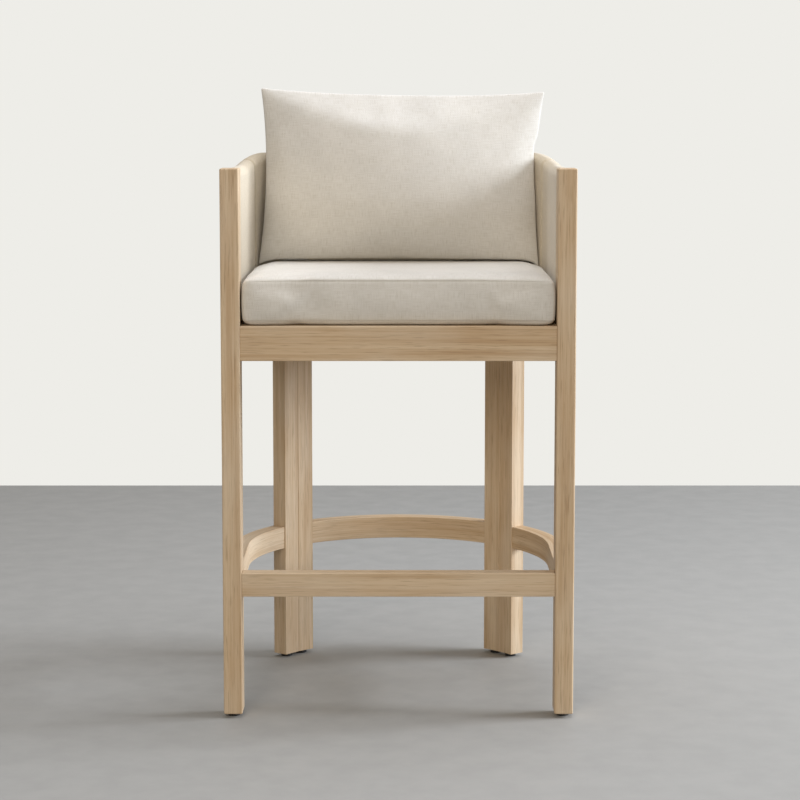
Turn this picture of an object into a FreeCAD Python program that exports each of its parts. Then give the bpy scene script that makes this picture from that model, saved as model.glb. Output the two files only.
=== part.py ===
import FreeCAD, Part

import math
import os

import Sketcher

# Counter-height stool with an upholstered barrel back and a footrest ring.
#
# Frame: +X to the right and +Y to the back as seen from in front of the stool, +Z up.
# The origin is on the floor, under the middle of the overall box. Millimetres and degrees.
#
# In plan the stool is a horseshoe: two straight sides run back from the front legs and
# meet a half circle about the arc centre. Every curved piece is a sector about that centre.

SHEET_ROWS = (
    ("arc_centre", -20, "Y of the half circle's centre"),
    ("outer_radius", 270, "outer face of the legs and rails"),
    ("front_face", -250, "Y of the front legs' front faces"),
    ("glide_height", 6, "floor to the legs' feet"),
    ("glide_radius", 9.25, "nail-on glide"),
    ("leg_width", 29, "front leg, side to side"),
    ("leg_depth", 44, "front leg, front to back"),
    ("leg_top", 848, "top of the front legs"),
    ("leg_edge", 2.5, "rounding of the front legs' edges"),
    ("stave_from", 37.5, "angle where each back leg starts"),
    ("stave_turn", 7.5, "angle that one back-leg stave covers"),
    ("stave_thickness", 27, "back-leg stave, in to out"),
    ("stave_edge", 1.0, "rounding of the staves' edges"),
    ("rail_thickness", 25, "seat and footrest rails"),
    ("rail_setback", 1.5, "front rails stand behind the legs' front faces"),
    ("rail_edge", 1.2, "rounding of the rails' edges"),
    ("seat_rail_bottom", 556, "underside of the seat rails"),
    ("seat_rail_top", 609, "top of the seat rails and of the back legs"),
    ("footrest_rail_bottom", 191, "underside of the footrest rails"),
    ("footrest_rail_top", 228, "top of the footrest rails"),
    ("deck_thickness", 15, "plywood seat deck"),
    ("deck_radius", 240.5, "seat deck's rounded back"),
    ("deck_gap", 0.5, "deck to front rail"),
    ("block_drop", 36, "height of the corner blocks under the deck"),
    ("block_reach_side", 56, "front corner block along the side rail"),
    ("block_reach_front", 65, "front corner block along the front rail"),
    ("back_block_depth", 26, "back corner block, in to out"),
    ("back_block_turn", 20, "angle that one back corner block covers"),
    ("barrel_thickness", 29, "upholstered barrel wall"),
    ("barrel_front_crown", 847, "top of the barrel wall along the arms"),
    ("barrel_crown", 865, "top of the barrel wall round the back"),
    ("barrel_cover_thickness", 2, "fabric and its backing on the barrel"),
    ("core_thickness", 12, "bent plywood core of the barrel"),
    ("core_inset", 8.5, "barrel's outer face to the core"),
    ("core_top", 828, "top of the plywood core"),
    ("rise_turn", 28, "angle that the rim's rise takes behind the arms"),
    ("cushion_front", -247, "Y of the seat cushion's front"),
    ("cushion_radius", 240.4, "seat cushion's half width and rounded back"),
    ("cushion_bottom", 609.3, "underside of the seat cushion"),
    ("cushion_top", 688, "crown of the seat cushion"),
    ("cushion_corner", 14, "seat cushion's front corners in plan"),
    ("cushion_edge", 9, "rounding of the seat cushion's edges"),
    ("cushion_cover", 2, "seat cushion's cover"),
    ("zip_width", 9, "cushion zip, across its tape"),
    ("zip_depth", 1, "cushion zip, into the cover"),
    ("zip_turn", 70, "angle that the seat cushion's zip covers"),
    ("pillow_seam", 42, "Y of the pillow's seam where it stands on the cushion"),
    ("pillow_bottom", 690, "pillow's lower seam"),
    ("pillow_height", 284, "pillow, seam to seam"),
    ("pillow_half_width", 222, "half of the pillow's width"),
    ("pillow_lean", 8, "pillow's lean to the back"),
    ("pillow_belly", 46, "pillow forward of its seam"),
    ("pillow_back", 104, "pillow behind its seam"),
    ("pillow_cover", 3, "pillow's cover"),
    ("pillow_zip_length", 300, "pillow's zip"),
    ("dowel_radius", 4, "rail dowels"),
    ("dowel_length", 36, "rail dowels"),
    ("barrel_dowel_radius", 3, "barrel dowels"),
    ("barrel_dowel_length", 30, "barrel dowels"),
    ("screw_radius", 2.25, "countersunk wood screws"),
    ("screw_head_radius", 4.5, "countersunk wood screws"),
    ("screw_length", 38, "countersunk wood screws"),
    ("nail_radius", 1.5, "glide nails"),
    ("nail_head_radius", 4, "glide nails"),
    ("nail_length", 20, "glide nails"),
)

# The rim's rise is drawn in this many steps. The barrel's inside seams stand half way up it.
RISE_STEPS = 8


class Size:
    """A length or an angle that carries its value and its spreadsheet expression."""

    def __init__(self, value, expression):
        self.value = float(value)
        self.expression = expression

    def __add__(self, other):
        other = as_size(other)
        return Size(self.value + other.value, f"({self.expression} + {other.expression})")

    def __sub__(self, other):
        other = as_size(other)
        return Size(self.value - other.value, f"({self.expression} - {other.expression})")

    def __mul__(self, other):
        other = as_size(other)
        return Size(self.value * other.value, f"({self.expression} * {other.expression})")

    def __truediv__(self, other):
        other = as_size(other)
        return Size(self.value / other.value, f"({self.expression} / {other.expression})")

    def __neg__(self):
        return Size(-self.value, f"(-1 * {self.expression})")


def as_size(number):
    """Wrap a plain number, and leave a Size as it is."""
    if isinstance(number, Size):
        return number
    return Size(number, repr(number))


def make_sheet(document):
    """Write the driving dimensions and return them by alias."""
    sheet = document.addObject("Spreadsheet::Sheet", "Sizes")
    for row, (alias, value, note) in enumerate(SHEET_ROWS, start=1):
        sheet.set(f"A{row}", note)
        sheet.set(f"B{row}", str(value))
        sheet.setAlias(f"B{row}", alias)
    document.recompute()
    return {alias: Size(sheet.get(alias), f"Sizes.{alias}") for alias, _, _ in SHEET_ROWS}


# ---------------------------------------------------------------- drawing helpers


def mid_angle(start, end, turn):
    """The angle half way from start to end, turning by +1 or -1."""
    sweep = (turn * (end - start)) % (2 * math.pi)
    return start + turn * sweep / 2


def draw_outline(sketch, corners, arcs=None):
    """Close an outline through the corners and hold each corner by the sheet.

    corners holds (across, along) pairs of Size. arcs maps the number of a span, counted
    from the corner where it starts, to its centre and its turn: +1 or -1.
    """
    arcs = arcs or {}
    count = len(corners)
    first_point = []
    last_point = []
    for span in range(count):
        start = corners[span]
        end = corners[(span + 1) % count]
        start_vector = FreeCAD.Vector(start[0].value, start[1].value, 0)
        end_vector = FreeCAD.Vector(end[0].value, end[1].value, 0)
        if span not in arcs:
            sketch.addGeometry(Part.LineSegment(start_vector, end_vector), False)
            first_point.append(1)
            last_point.append(2)
            continue
        centre, turn = arcs[span]
        centre_vector = FreeCAD.Vector(centre[0].value, centre[1].value, 0)
        spoke = start_vector - centre_vector
        start_angle = math.atan2(spoke.y, spoke.x)
        end_spoke = end_vector - centre_vector
        end_angle = math.atan2(end_spoke.y, end_spoke.x)
        circle = Part.Circle(centre_vector, FreeCAD.Vector(0, 0, 1), spoke.Length)
        if turn > 0:
            sketch.addGeometry(Part.ArcOfCircle(circle, start_angle, end_angle), False)
            first_point.append(1)
            last_point.append(2)
        else:
            sketch.addGeometry(Part.ArcOfCircle(circle, end_angle, start_angle), False)
            first_point.append(2)
            last_point.append(1)
    for span in range(count):
        following = (span + 1) % count
        sketch.addConstraint(
            Sketcher.Constraint("Coincident", span, last_point[span], following, first_point[following])
        )
    for span, corner in enumerate(corners):
        hold_point(sketch, span, first_point[span], "DistanceX", corner[0], f"across_{span}")
        hold_point(sketch, span, first_point[span], "DistanceY", corner[1], f"along_{span}")
    for span, (centre, _) in arcs.items():
        end = corners[(span + 1) % count]
        run = abs(end[0].value - corners[span][0].value)
        rise = abs(end[1].value - corners[span][1].value)
        if run > rise:
            hold_point(sketch, span, 3, "DistanceY", centre[1], f"centre_{span}")
        else:
            hold_point(sketch, span, 3, "DistanceX", centre[0], f"centre_{span}")


def hold_point(sketch, geometry, point, kind, size, name):
    """Fix one coordinate of a sketch point, measured from the sketch's origin."""
    number = sketch.addConstraint(Sketcher.Constraint(kind, -1, 1, geometry, point, size.value))
    sketch.renameConstraint(number, name)
    sketch.setExpression(f"Constraints.{name}", size.expression)


def rectangle(left, right, bottom, top):
    """Corners of an upright rectangle."""
    return [(left, bottom), (right, bottom), (right, top), (left, top)]


def add_sketch(body, name, role, corners, arcs=None, offset=None):
    """Add a sketch on one of the body's own origin planes."""
    plane = next(item for item in body.Origin.OriginFeatures if item.Role == role)
    sketch = body.newObject("Sketcher::SketchObject", name)
    sketch.AttachmentSupport = [(plane, "")]
    sketch.MapMode = "FlatFace"
    if offset is not None:
        sketch.setExpression("AttachmentOffset.Base.z", offset.expression)
    draw_outline(sketch, corners, arcs)
    return sketch


def add_body(document, name, arc_frame=None, turned_by=None):
    """Add a body, standing on the arc centre and turned about it where asked."""
    body = document.addObject("PartDesign::Body", name)
    body.Label = name
    if arc_frame is not None:
        body.setExpression("Placement.Base.y", arc_frame.expression)
    if turned_by is not None:
        body.Placement = FreeCAD.Placement(
            body.Placement.Base, FreeCAD.Rotation(FreeCAD.Vector(0, 0, 1), turned_by.value)
        )
        body.setExpression("Placement.Rotation.Angle", turned_by.expression)
    return body


def add_pad(body, name, sketch, length, reverse=False):
    """Pad a sketch along its normal."""
    pad = body.newObject("PartDesign::Pad", name)
    pad.Profile = sketch
    pad.Reversed = reverse
    pad.setExpression("Length", length.expression)
    return pad


def add_turn(body, name, sketch, angle):
    """Turn a section about the body's upright axis, from +X towards +Y."""
    turn = body.newObject("PartDesign::Revolution", name)
    turn.Profile = sketch
    turn.ReferenceAxis = (sketch, ["V_Axis"])
    turn.setExpression("Angle", angle.expression)
    return turn


def ease_edges(document, body, feature, radius, keep):
    """Round the edges of a feature that keep(edge) accepts."""
    document.recompute()
    names = [f"Edge{number}" for number, edge in enumerate(feature.Shape.Edges, start=1) if keep(edge)]
    fillet = body.newObject("PartDesign::Fillet", f"{body.Name}_edges")
    fillet.Base = (feature, names)
    fillet.setExpression("Radius", radius.expression)
    return fillet


def is_upright(edge):
    """True for a straight edge along Z."""
    box = edge.BoundBox
    return box.ZLength > 1 and box.XLength < 0.01 and box.YLength < 0.01


def is_level(edge):
    """True for an edge that keeps one height."""
    return edge.BoundBox.ZLength < 0.01


# ---------------------------------------------------------------- combining helpers


def cut(document, name, blank, tool):
    """The blank with the tool's shape taken out of it."""
    node = document.addObject("Part::Cut", name)
    node.Base = blank
    node.Tool = tool
    node.Label = name
    return node


def fuse(document, name, pieces):
    """Several blanks joined into one piece."""
    node = document.addObject("Part::MultiFuse", name)
    node.Shapes = pieces
    node.Refine = True
    node.Label = name
    return node


def mirror(document, name, source):
    """The same piece for the other side of the stool."""
    node = document.addObject("Part::Mirroring", name)
    node.Source = source
    node.Base = FreeCAD.Vector(0, 0, 0)
    node.Normal = FreeCAD.Vector(1, 0, 0)
    node.Label = name
    return node


def group(document, name, master, spots):
    """Copies of one finished piece as a group of separate solids.

    A spot is a point and a direction: the master's own origin and its +Z go there.
    """
    document.recompute()
    up = FreeCAD.Vector(0, 0, 1)
    copies = []
    for point, direction in spots:
        copy = master.Shape.copy()
        copy.Placement = FreeCAD.Placement(point, FreeCAD.Rotation(up, direction))
        copies.append(copy)
    node = document.addObject("Part::Feature", name)
    node.Shape = Part.makeCompound(copies)
    node.Placement = FreeCAD.Placement()
    node.Label = name
    return node


def on_both_sides(spots):
    """The right side's spots and their mirror images."""
    other_side = []
    for point, direction in spots:
        other_side.append(
            (
                FreeCAD.Vector(-point.x, point.y, point.z),
                FreeCAD.Vector(-direction.x, direction.y, direction.z),
            )
        )
    return spots + other_side


# ---------------------------------------------------------------- fasteners


def dowel_blank(document, name, radius, length):
    """A dowel that stands on its own origin."""
    dowel = document.addObject("Part::Cylinder", name)
    dowel.setExpression("Radius", radius.expression)
    dowel.setExpression("Height", length.expression)
    return dowel


def half_back(spots, length):
    """Move the spots back by half a length, so that a dowel is centred on its joint."""
    return [(point - direction * (length.value / 2), direction) for point, direction in spots]


def headed_blank(document, name, shank, head, length, head_height):
    """A screw or nail whose flat head lies at its origin and whose tip points to -Z."""
    body = add_body(document, name)
    zero = as_size(0)
    corners = [
        (zero, zero),
        (head, zero),
        (shank, -head_height),
        (shank, -length + shank * 2),
        (zero, -length),
    ]
    sketch = add_sketch(body, f"{name}_half", "XZ_Plane", corners)
    add_turn(body, f"{name}_turned", sketch, as_size(360))
    return body


# ---------------------------------------------------------------- places


def polar(size, radius, angle, height):
    """A point at an angle about the arc centre, and the outward and onward directions there."""
    turn = math.radians(angle)
    outward = FreeCAD.Vector(math.cos(turn), math.sin(turn), 0)
    onward = FreeCAD.Vector(-math.sin(turn), math.cos(turn), 0)
    point = outward * radius + FreeCAD.Vector(0, size["arc_centre"].value, height)
    return point, outward, onward


def rail_dowel_spots(size, bottom, top):
    """Two dowels, one above the other, at each end of the rails of one level."""
    middle = (bottom.value + top.value) / 2
    spread = (top.value - bottom.value) / 2 - 10
    leg_inside = size["outer_radius"].value - size["leg_width"].value
    leg_back = size["front_face"].value + size["leg_depth"].value
    rail_middle = size["outer_radius"].value - size["rail_thickness"].value / 2
    front_middle = size["front_face"].value + size["rail_setback"].value
    front_middle += size["rail_thickness"].value / 2
    back_leg_start = size["stave_from"].value
    back_leg_end = back_leg_start + 2 * size["stave_turn"].value
    spots = []
    for height in (middle - spread, middle + spread):
        spots.append((FreeCAD.Vector(leg_inside, front_middle, height), FreeCAD.Vector(1, 0, 0)))
        spots.append((FreeCAD.Vector(rail_middle, leg_back, height), FreeCAD.Vector(0, 1, 0)))
        for angle in (back_leg_start, back_leg_end):
            point, _, onward = polar(size, rail_middle, angle, height)
            spots.append((point, onward))
    return on_both_sides(half_back(spots, size["dowel_length"]))


def barrel_dowel_spots(size):
    """Dowels that hold the barrel's core to the seat rails and to the front legs."""
    core_middle = size["outer_radius"].value - size["core_inset"].value
    core_middle -= size["core_thickness"].value / 2
    leg_back = size["front_face"].value + size["leg_depth"].value
    seat_top = size["seat_rail_top"].value
    up = FreeCAD.Vector(0, 0, 1)
    back = FreeCAD.Vector(0, 1, 0)
    spots = []
    for share in (0.3, 0.7):
        along = leg_back + share * (size["arc_centre"].value - leg_back)
        spots.append((FreeCAD.Vector(core_middle, along, seat_top), up))
    for angle in (8, 26, 66, 82):
        point, _, _ = polar(size, core_middle, angle, seat_top)
        spots.append((point, up))
    for share in (0.2, 0.5, 0.8):
        height = seat_top + share * (size["core_top"].value - seat_top)
        spots.append((FreeCAD.Vector(core_middle, leg_back, height), back))
    return on_both_sides(half_back(spots, size["barrel_dowel_length"]))


def glide_spots(size):
    """The middle of each glide: one under each front leg and one under each stave."""
    leg_middle = size["outer_radius"].value - size["leg_width"].value / 2
    leg_depth_middle = size["front_face"].value + size["leg_depth"].value / 2
    stave_middle = size["outer_radius"].value - size["stave_thickness"].value / 2
    places = {"front": FreeCAD.Vector(leg_middle, leg_depth_middle, 0)}
    for name, staves in (("side", 0.5), ("rear", 1.5)):
        angle = size["stave_from"].value + staves * size["stave_turn"].value
        places[name], _, _ = polar(size, stave_middle, angle, 0)
    return places


# ---------------------------------------------------------------- wooden frame


def front_leg_blank(document, size):
    """The right front leg, which runs up past the seat to hold the barrel's end."""
    body = add_body(document, "front_leg_blank")
    corners = rectangle(
        size["outer_radius"] - size["leg_width"],
        size["outer_radius"],
        size["front_face"],
        size["front_face"] + size["leg_depth"],
    )
    plan = add_sketch(body, "front_leg_plan", "XY_Plane", corners, offset=size["glide_height"])
    leg = add_pad(body, "front_leg_length", plan, size["leg_top"] - size["glide_height"])
    ease_edges(document, body, leg, size["leg_edge"], lambda edge: True)
    return body


def stave_blank(document, size, name, staves_before):
    """One of the two glued staves of the right back leg."""
    start = size["stave_from"] + size["stave_turn"] * staves_before
    body = add_body(document, name, size["arc_centre"], start)
    corners = rectangle(
        size["outer_radius"] - size["stave_thickness"],
        size["outer_radius"],
        size["glide_height"],
        size["seat_rail_top"],
    )
    section = add_sketch(body, f"{name}_section", "XZ_Plane", corners)
    stave = add_turn(body, f"{name}_sector", section, size["stave_turn"])
    ease_edges(document, body, stave, size["stave_edge"], is_upright)
    return body


def rail_section(size, bottom, top):
    """The curved rails' section."""
    return rectangle(size["outer_radius"] - size["rail_thickness"], size["outer_radius"], bottom, top)


def front_rail_blank(document, size, name, bottom, top):
    """The straight rail between the front legs."""
    body = add_body(document, name)
    inside = size["outer_radius"] - size["leg_width"]
    front = size["front_face"] + size["rail_setback"]
    corners = rectangle(-inside, inside, front, front + size["rail_thickness"])
    plan = add_sketch(body, f"{name}_plan", "XY_Plane", corners, offset=bottom)
    rail = add_pad(body, f"{name}_height", plan, top - bottom)
    ease_edges(document, body, rail, size["rail_edge"], lambda edge: True)
    return body


def side_rail_blank(document, size, name, bottom, top):
    """The right side rail: straight behind the front leg, then round to the back leg."""
    body = add_body(document, name, size["arc_centre"])
    section = add_sketch(body, f"{name}_section", "XZ_Plane", rail_section(size, bottom, top))
    straight = size["arc_centre"] - size["front_face"] - size["leg_depth"]
    add_pad(body, f"{name}_straight", section, straight)
    rail = add_turn(body, f"{name}_curve", section, size["stave_from"])
    ease_edges(document, body, rail, size["rail_edge"], lambda edge: is_level(edge) and edge.Length > 30)
    return body


def back_rail_blank(document, size, name, bottom, top):
    """The curved rail between the back legs."""
    start = size["stave_from"] + size["stave_turn"] * 2
    body = add_body(document, name, size["arc_centre"], start)
    section = add_sketch(body, f"{name}_section", "XZ_Plane", rail_section(size, bottom, top))
    rail = add_turn(body, f"{name}_curve", section, as_size(180) - start * 2)
    ease_edges(document, body, rail, size["rail_edge"], lambda edge: True)
    return body


def deck_blank(document, size):
    """The plywood deck inside the seat rails, level with their tops."""
    body = add_body(document, "seat_deck_blank")
    front = size["front_face"] + size["rail_setback"] + size["rail_thickness"] + size["deck_gap"]
    radius = size["deck_radius"]
    centre = size["arc_centre"]
    corners = [(-radius, front), (radius, front), (radius, centre), (-radius, centre)]
    arcs = {2: ((as_size(0), centre), 1)}
    bottom = size["seat_rail_top"] - size["deck_thickness"]
    plan = add_sketch(body, "seat_deck_plan", "XY_Plane", corners, arcs, offset=bottom)
    add_pad(body, "seat_deck_board", plan, size["deck_thickness"])
    return body


def front_block_blank(document, size):
    """The right front corner block, notched round the leg."""
    body = add_body(document, "front_block_blank")
    rail_back = size["front_face"] + size["rail_setback"] + size["rail_thickness"]
    leg_back = size["front_face"] + size["leg_depth"]
    leg_inside = size["outer_radius"] - size["leg_width"]
    rail_inside = size["outer_radius"] - size["rail_thickness"]
    corners = [
        (leg_inside - size["block_reach_front"], rail_back),
        (leg_inside, rail_back),
        (leg_inside, leg_back),
        (rail_inside, leg_back),
        (rail_inside, leg_back + size["block_reach_side"]),
    ]
    top = size["seat_rail_top"] - size["deck_thickness"]
    bottom = top - size["block_drop"]
    plan = add_sketch(body, "front_block_plan", "XY_Plane", corners, offset=bottom)
    add_pad(body, "front_block_height", plan, size["block_drop"])
    return body


def back_block_blank(document, size):
    """The right back corner block, screwed to both staves from inside."""
    middle = size["stave_from"] + size["stave_turn"]
    start = middle - size["back_block_turn"] / 2
    body = add_body(document, "back_block_blank", size["arc_centre"], start)
    inside = size["outer_radius"] - size["stave_thickness"]
    top = size["seat_rail_top"] - size["deck_thickness"]
    corners = rectangle(inside - size["back_block_depth"], inside, top - size["block_drop"], top)
    section = add_sketch(body, "back_block_section", "XZ_Plane", corners)
    add_turn(body, "back_block_curve", section, size["back_block_turn"])
    return body


def screw_spots(size):
    """Screws down through the deck into the blocks, and through the blocks into the legs."""
    driven_down = FreeCAD.Vector(0, 0, 1)
    seat_top = size["seat_rail_top"].value
    block_top = seat_top - size["deck_thickness"].value
    screw_height = block_top - size["block_drop"].value / 3
    leg_inside = size["outer_radius"].value - size["leg_width"].value
    leg_back = size["front_face"].value + size["leg_depth"].value
    stave_inside = size["outer_radius"].value - size["stave_thickness"].value
    block_middle_radius = stave_inside - size["back_block_depth"].value / 2
    middle = size["stave_from"].value + size["stave_turn"].value
    deck_spots = [
        (FreeCAD.Vector(leg_inside - 36, leg_back - 8, seat_top), driven_down),
        (FreeCAD.Vector(leg_inside - 6, leg_back + 28, seat_top), driven_down),
    ]
    for angle in (middle - 6, middle + 6):
        point, _, _ = polar(size, block_middle_radius, angle, seat_top)
        deck_spots.append((point, driven_down))

    reach_front = size["block_reach_front"].value
    reach_side = size["block_reach_side"].value
    rail_back = size["front_face"].value + size["rail_setback"].value + size["rail_thickness"].value
    rail_inside = size["outer_radius"].value - size["rail_thickness"].value
    slope_start = FreeCAD.Vector(leg_inside - reach_front, rail_back, screw_height)
    slope_end = FreeCAD.Vector(rail_inside, leg_back + reach_side, screw_height)
    head_point = (slope_start + slope_end) / 2
    leg_middle = FreeCAD.Vector(
        leg_inside + size["leg_width"].value / 2, leg_back - size["leg_depth"].value / 2, screw_height
    )
    from_leg = head_point - leg_middle
    from_leg.normalize()
    block_spots = [(head_point, from_leg)]
    for angle in (middle - 4, middle + 4):
        block_inside = stave_inside - size["back_block_depth"].value
        point, outward, _ = polar(size, block_inside, angle, screw_height)
        block_spots.append((point, outward * -1))
    return on_both_sides(deck_spots), on_both_sides(block_spots)


def glide_blank(document, size, name, point):
    """A round nylon glide on the floor, under a leg."""
    glide = document.addObject("Part::Cylinder", f"{name}_disc")
    glide.setExpression("Radius", size["glide_radius"].expression)
    glide.setExpression("Height", size["glide_height"].expression)
    glide.Placement = FreeCAD.Placement(point, FreeCAD.Rotation())
    return glide


# ---------------------------------------------------------------- barrel


def core_section(size, crown):
    """The bent plywood core, which has one height all round whatever the crown."""
    outside = size["outer_radius"] - size["core_inset"]
    return rectangle(outside - size["core_thickness"], outside, size["seat_rail_top"], size["core_top"]), {}


def foam_section(size, crown):
    """The foam draped over the core, from the rail inside to the rail outside."""
    cover = size["barrel_cover_thickness"]
    outside = size["outer_radius"] - cover
    inside = size["outer_radius"] - size["barrel_thickness"] + cover
    shoulder = crown - size["barrel_thickness"] / 2
    core_outside = size["outer_radius"] - size["core_inset"]
    core_inside = core_outside - size["core_thickness"]
    bottom = size["seat_rail_top"]
    corners = [
        (inside, bottom),
        (core_inside, bottom),
        (core_inside, size["core_top"]),
        (core_outside, size["core_top"]),
        (core_outside, bottom),
        (outside, bottom),
        (outside, shoulder),
        (inside, shoulder),
    ]
    centre = ((inside + outside) / 2, shoulder)
    return corners, {6: (centre, 1)}


def inside_cover_section(size, crown):
    """The inside fabric, from the seat up and over the rolled top."""
    cover = size["barrel_cover_thickness"]
    outside = size["outer_radius"]
    inside = outside - size["barrel_thickness"]
    shoulder = crown - size["barrel_thickness"] / 2
    bottom = size["seat_rail_top"]
    corners = [
        (inside, bottom),
        (inside + cover, bottom),
        (inside + cover, shoulder),
        (outside - cover, shoulder),
        (outside, shoulder),
        (inside, shoulder),
    ]
    centre = ((inside + outside) / 2, shoulder)
    return corners, {2: (centre, -1), 4: (centre, 1)}


def outside_cover_section(size, crown):
    """The outside fabric, up to where the rolled top begins."""
    outside = size["outer_radius"]
    shoulder = crown - size["barrel_thickness"] / 2
    corners = rectangle(
        outside - size["barrel_cover_thickness"], outside, size["seat_rail_top"], shoulder
    )
    return corners, {}


def crown_at(size, step):
    """Height of the rim where its rise has gone so many of its steps."""
    share = step / RISE_STEPS
    eased = share * share * (3 - 2 * share)
    return size["barrel_front_crown"] + (size["barrel_crown"] - size["barrel_front_crown"]) * eased


def arm_blank(document, size, name, section):
    """The straight right side of the barrel, as low as its leg."""
    body = add_body(document, f"{name}_arm", size["arc_centre"])
    corners, arcs = section(size, size["barrel_front_crown"])
    sketch = add_sketch(body, f"{name}_arm_section", "XZ_Plane", corners, arcs)
    length = size["arc_centre"] - size["front_face"] - size["leg_depth"]
    add_pad(body, f"{name}_arm_run", sketch, length)
    return body


def rise_blank(document, size, name, section, first, last):
    """The start of the barrel's half circle, where the rim rises from one step to another."""
    body = add_body(document, f"{name}_rise", size["arc_centre"])
    sketches = []
    for step in range(first, last + 1):
        corners, arcs = section(size, crown_at(size, step))
        sketch = add_sketch(body, f"{name}_rise_{step}", "XZ_Plane", corners, arcs)
        if step:
            turn = size["rise_turn"] * (step / RISE_STEPS)
            sketch.AttachmentOffset = FreeCAD.Placement(
                FreeCAD.Vector(), FreeCAD.Rotation(FreeCAD.Vector(0, 1, 0), turn.value)
            )
            sketch.setExpression("AttachmentOffset.Rotation.Angle", turn.expression)
        sketches.append(sketch)
    loft = body.newObject("PartDesign::AdditiveLoft", f"{name}_rise_loft")
    loft.Profile = sketches[0]
    loft.Sections = sketches[1:]
    loft.Ruled = True
    return body


def arc_blank(document, size, name, section):
    """The back of the barrel's half circle, at its full height."""
    body = add_body(document, f"{name}_arc", size["arc_centre"], size["rise_turn"])
    corners, arcs = section(size, size["barrel_crown"])
    sketch = add_sketch(body, f"{name}_arc_section", "XZ_Plane", corners, arcs)
    add_turn(body, f"{name}_arc_sector", sketch, as_size(180) - size["rise_turn"] * 2)
    return body


def whole_barrel_blank(document, size, name, section):
    """Both arms, both rises and the back in one horseshoe."""
    arm = arm_blank(document, size, name, section)
    rise = rise_blank(document, size, name, section, 0, RISE_STEPS)
    other_arm = mirror(document, f"{name}_other_arm", arm)
    other_rise = mirror(document, f"{name}_other_rise", rise)
    arc = arc_blank(document, size, name, section)
    return fuse(document, name, [arm, rise, arc, other_rise, other_arm])


# ---------------------------------------------------------------- cushions


def cushion_blank(document, size, name, inset):
    """The D-shaped box cushion, drawn in by an inset on every side."""
    body = add_body(document, name)
    radius = size["cushion_radius"] - inset
    front = size["cushion_front"] + inset
    centre = size["arc_centre"]
    corner = size["cushion_corner"]
    zero = as_size(0)
    corners = [
        (corner - radius, front),
        (radius - corner, front),
        (radius, front + corner),
        (radius, centre),
        (-radius, centre),
        (-radius, front + corner),
    ]
    arcs = {
        1: ((radius - corner, front + corner), 1),
        3: ((zero, centre), 1),
        5: ((corner - radius, front + corner), 1),
    }
    bottom = size["cushion_bottom"] + inset
    plan = add_sketch(body, f"{name}_plan", "XY_Plane", corners, arcs, offset=bottom)
    block = add_pad(body, f"{name}_block", plan, size["cushion_top"] - size["cushion_bottom"] - inset * 2)
    ease_edges(document, body, block, size["cushion_edge"] - inset, is_level)
    return body


def cushion_zip_blank(document, size):
    """The zip let into the back of the cushion's cover."""
    start = as_size(90) - size["zip_turn"] / 2
    body = add_body(document, "seat_cushion_zip", size["arc_centre"], start)
    middle = (size["cushion_bottom"] + size["cushion_top"]) / 2
    corners = rectangle(
        size["cushion_radius"] - size["zip_depth"],
        size["cushion_radius"],
        middle - size["zip_width"] / 2,
        middle + size["zip_width"] / 2,
    )
    section = add_sketch(body, "seat_cushion_zip_section", "XZ_Plane", corners)
    add_turn(body, "seat_cushion_zip_tape", section, size["zip_turn"])
    return body


def pillow_blank(document, size, name, inset):
    """The knife-edged pillow: sections that grow to the seam and shrink behind it.

    Each section states its place from the seam as a share of the belly or of the back,
    its half width and its margin at the lower and upper seam as shares of the pillow's.
    """
    body = document.addObject("PartDesign::Body", name)
    body.Label = name
    lean = FreeCAD.Rotation(FreeCAD.Vector(-1, 0, 0), size["pillow_lean"].value)
    body.Placement = FreeCAD.Placement(FreeCAD.Vector(0, 0, 0), lean)
    body.setExpression("Placement.Base.y", size["pillow_seam"].expression)
    body.setExpression("Placement.Base.z", size["pillow_bottom"].expression)
    body.setExpression("Placement.Rotation.Angle", size["pillow_lean"].expression)
    belly = size["pillow_belly"] - inset
    back = size["pillow_back"] - inset
    stations = (
        (belly, 0.62, 0.24),
        (belly * 0.62, 0.86, 0.09),
        (as_size(0), 1.0, 0.0),
        (-back * 0.62, 0.84, 0.09),
        (-back, 0.55, 0.24),
    )
    sketches = []
    for number, (place, width_share, margin_share) in enumerate(stations):
        half_width = (size["pillow_half_width"] - inset) * width_share
        margin = size["pillow_height"] * margin_share + inset
        corners = rectangle(-half_width, half_width, margin, size["pillow_height"] - margin)
        sketches.append(
            add_sketch(body, f"{name}_section_{number}", "XZ_Plane", corners, offset=place)
        )
    loft = body.newObject("PartDesign::AdditiveLoft", f"{name}_loft")
    loft.Profile = sketches[0]
    loft.Sections = sketches[1:]
    loft.Ruled = True
    return body


def pillow_zip_blank(document, size):
    """The zip concealed in the pillow's lower seam."""
    zip_box = document.addObject("Part::Box", "back_pillow_zip")
    zip_box.Label = "back_pillow_zip"
    length = size["pillow_zip_length"]
    width = size["zip_width"] / 3
    zip_box.setExpression("Length", length.expression)
    zip_box.setExpression("Width", width.expression)
    zip_box.setExpression("Height", (size["pillow_cover"] / 3).expression)
    zip_box.setExpression("Placement.Base.x", (-length / 2).expression)
    zip_box.setExpression("Placement.Base.y", (size["pillow_seam"] - width / 2).expression)
    zip_box.setExpression(
        "Placement.Base.z", (size["pillow_bottom"] + size["pillow_cover"] / 2).expression
    )
    return zip_box


# ---------------------------------------------------------------- the stool


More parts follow.
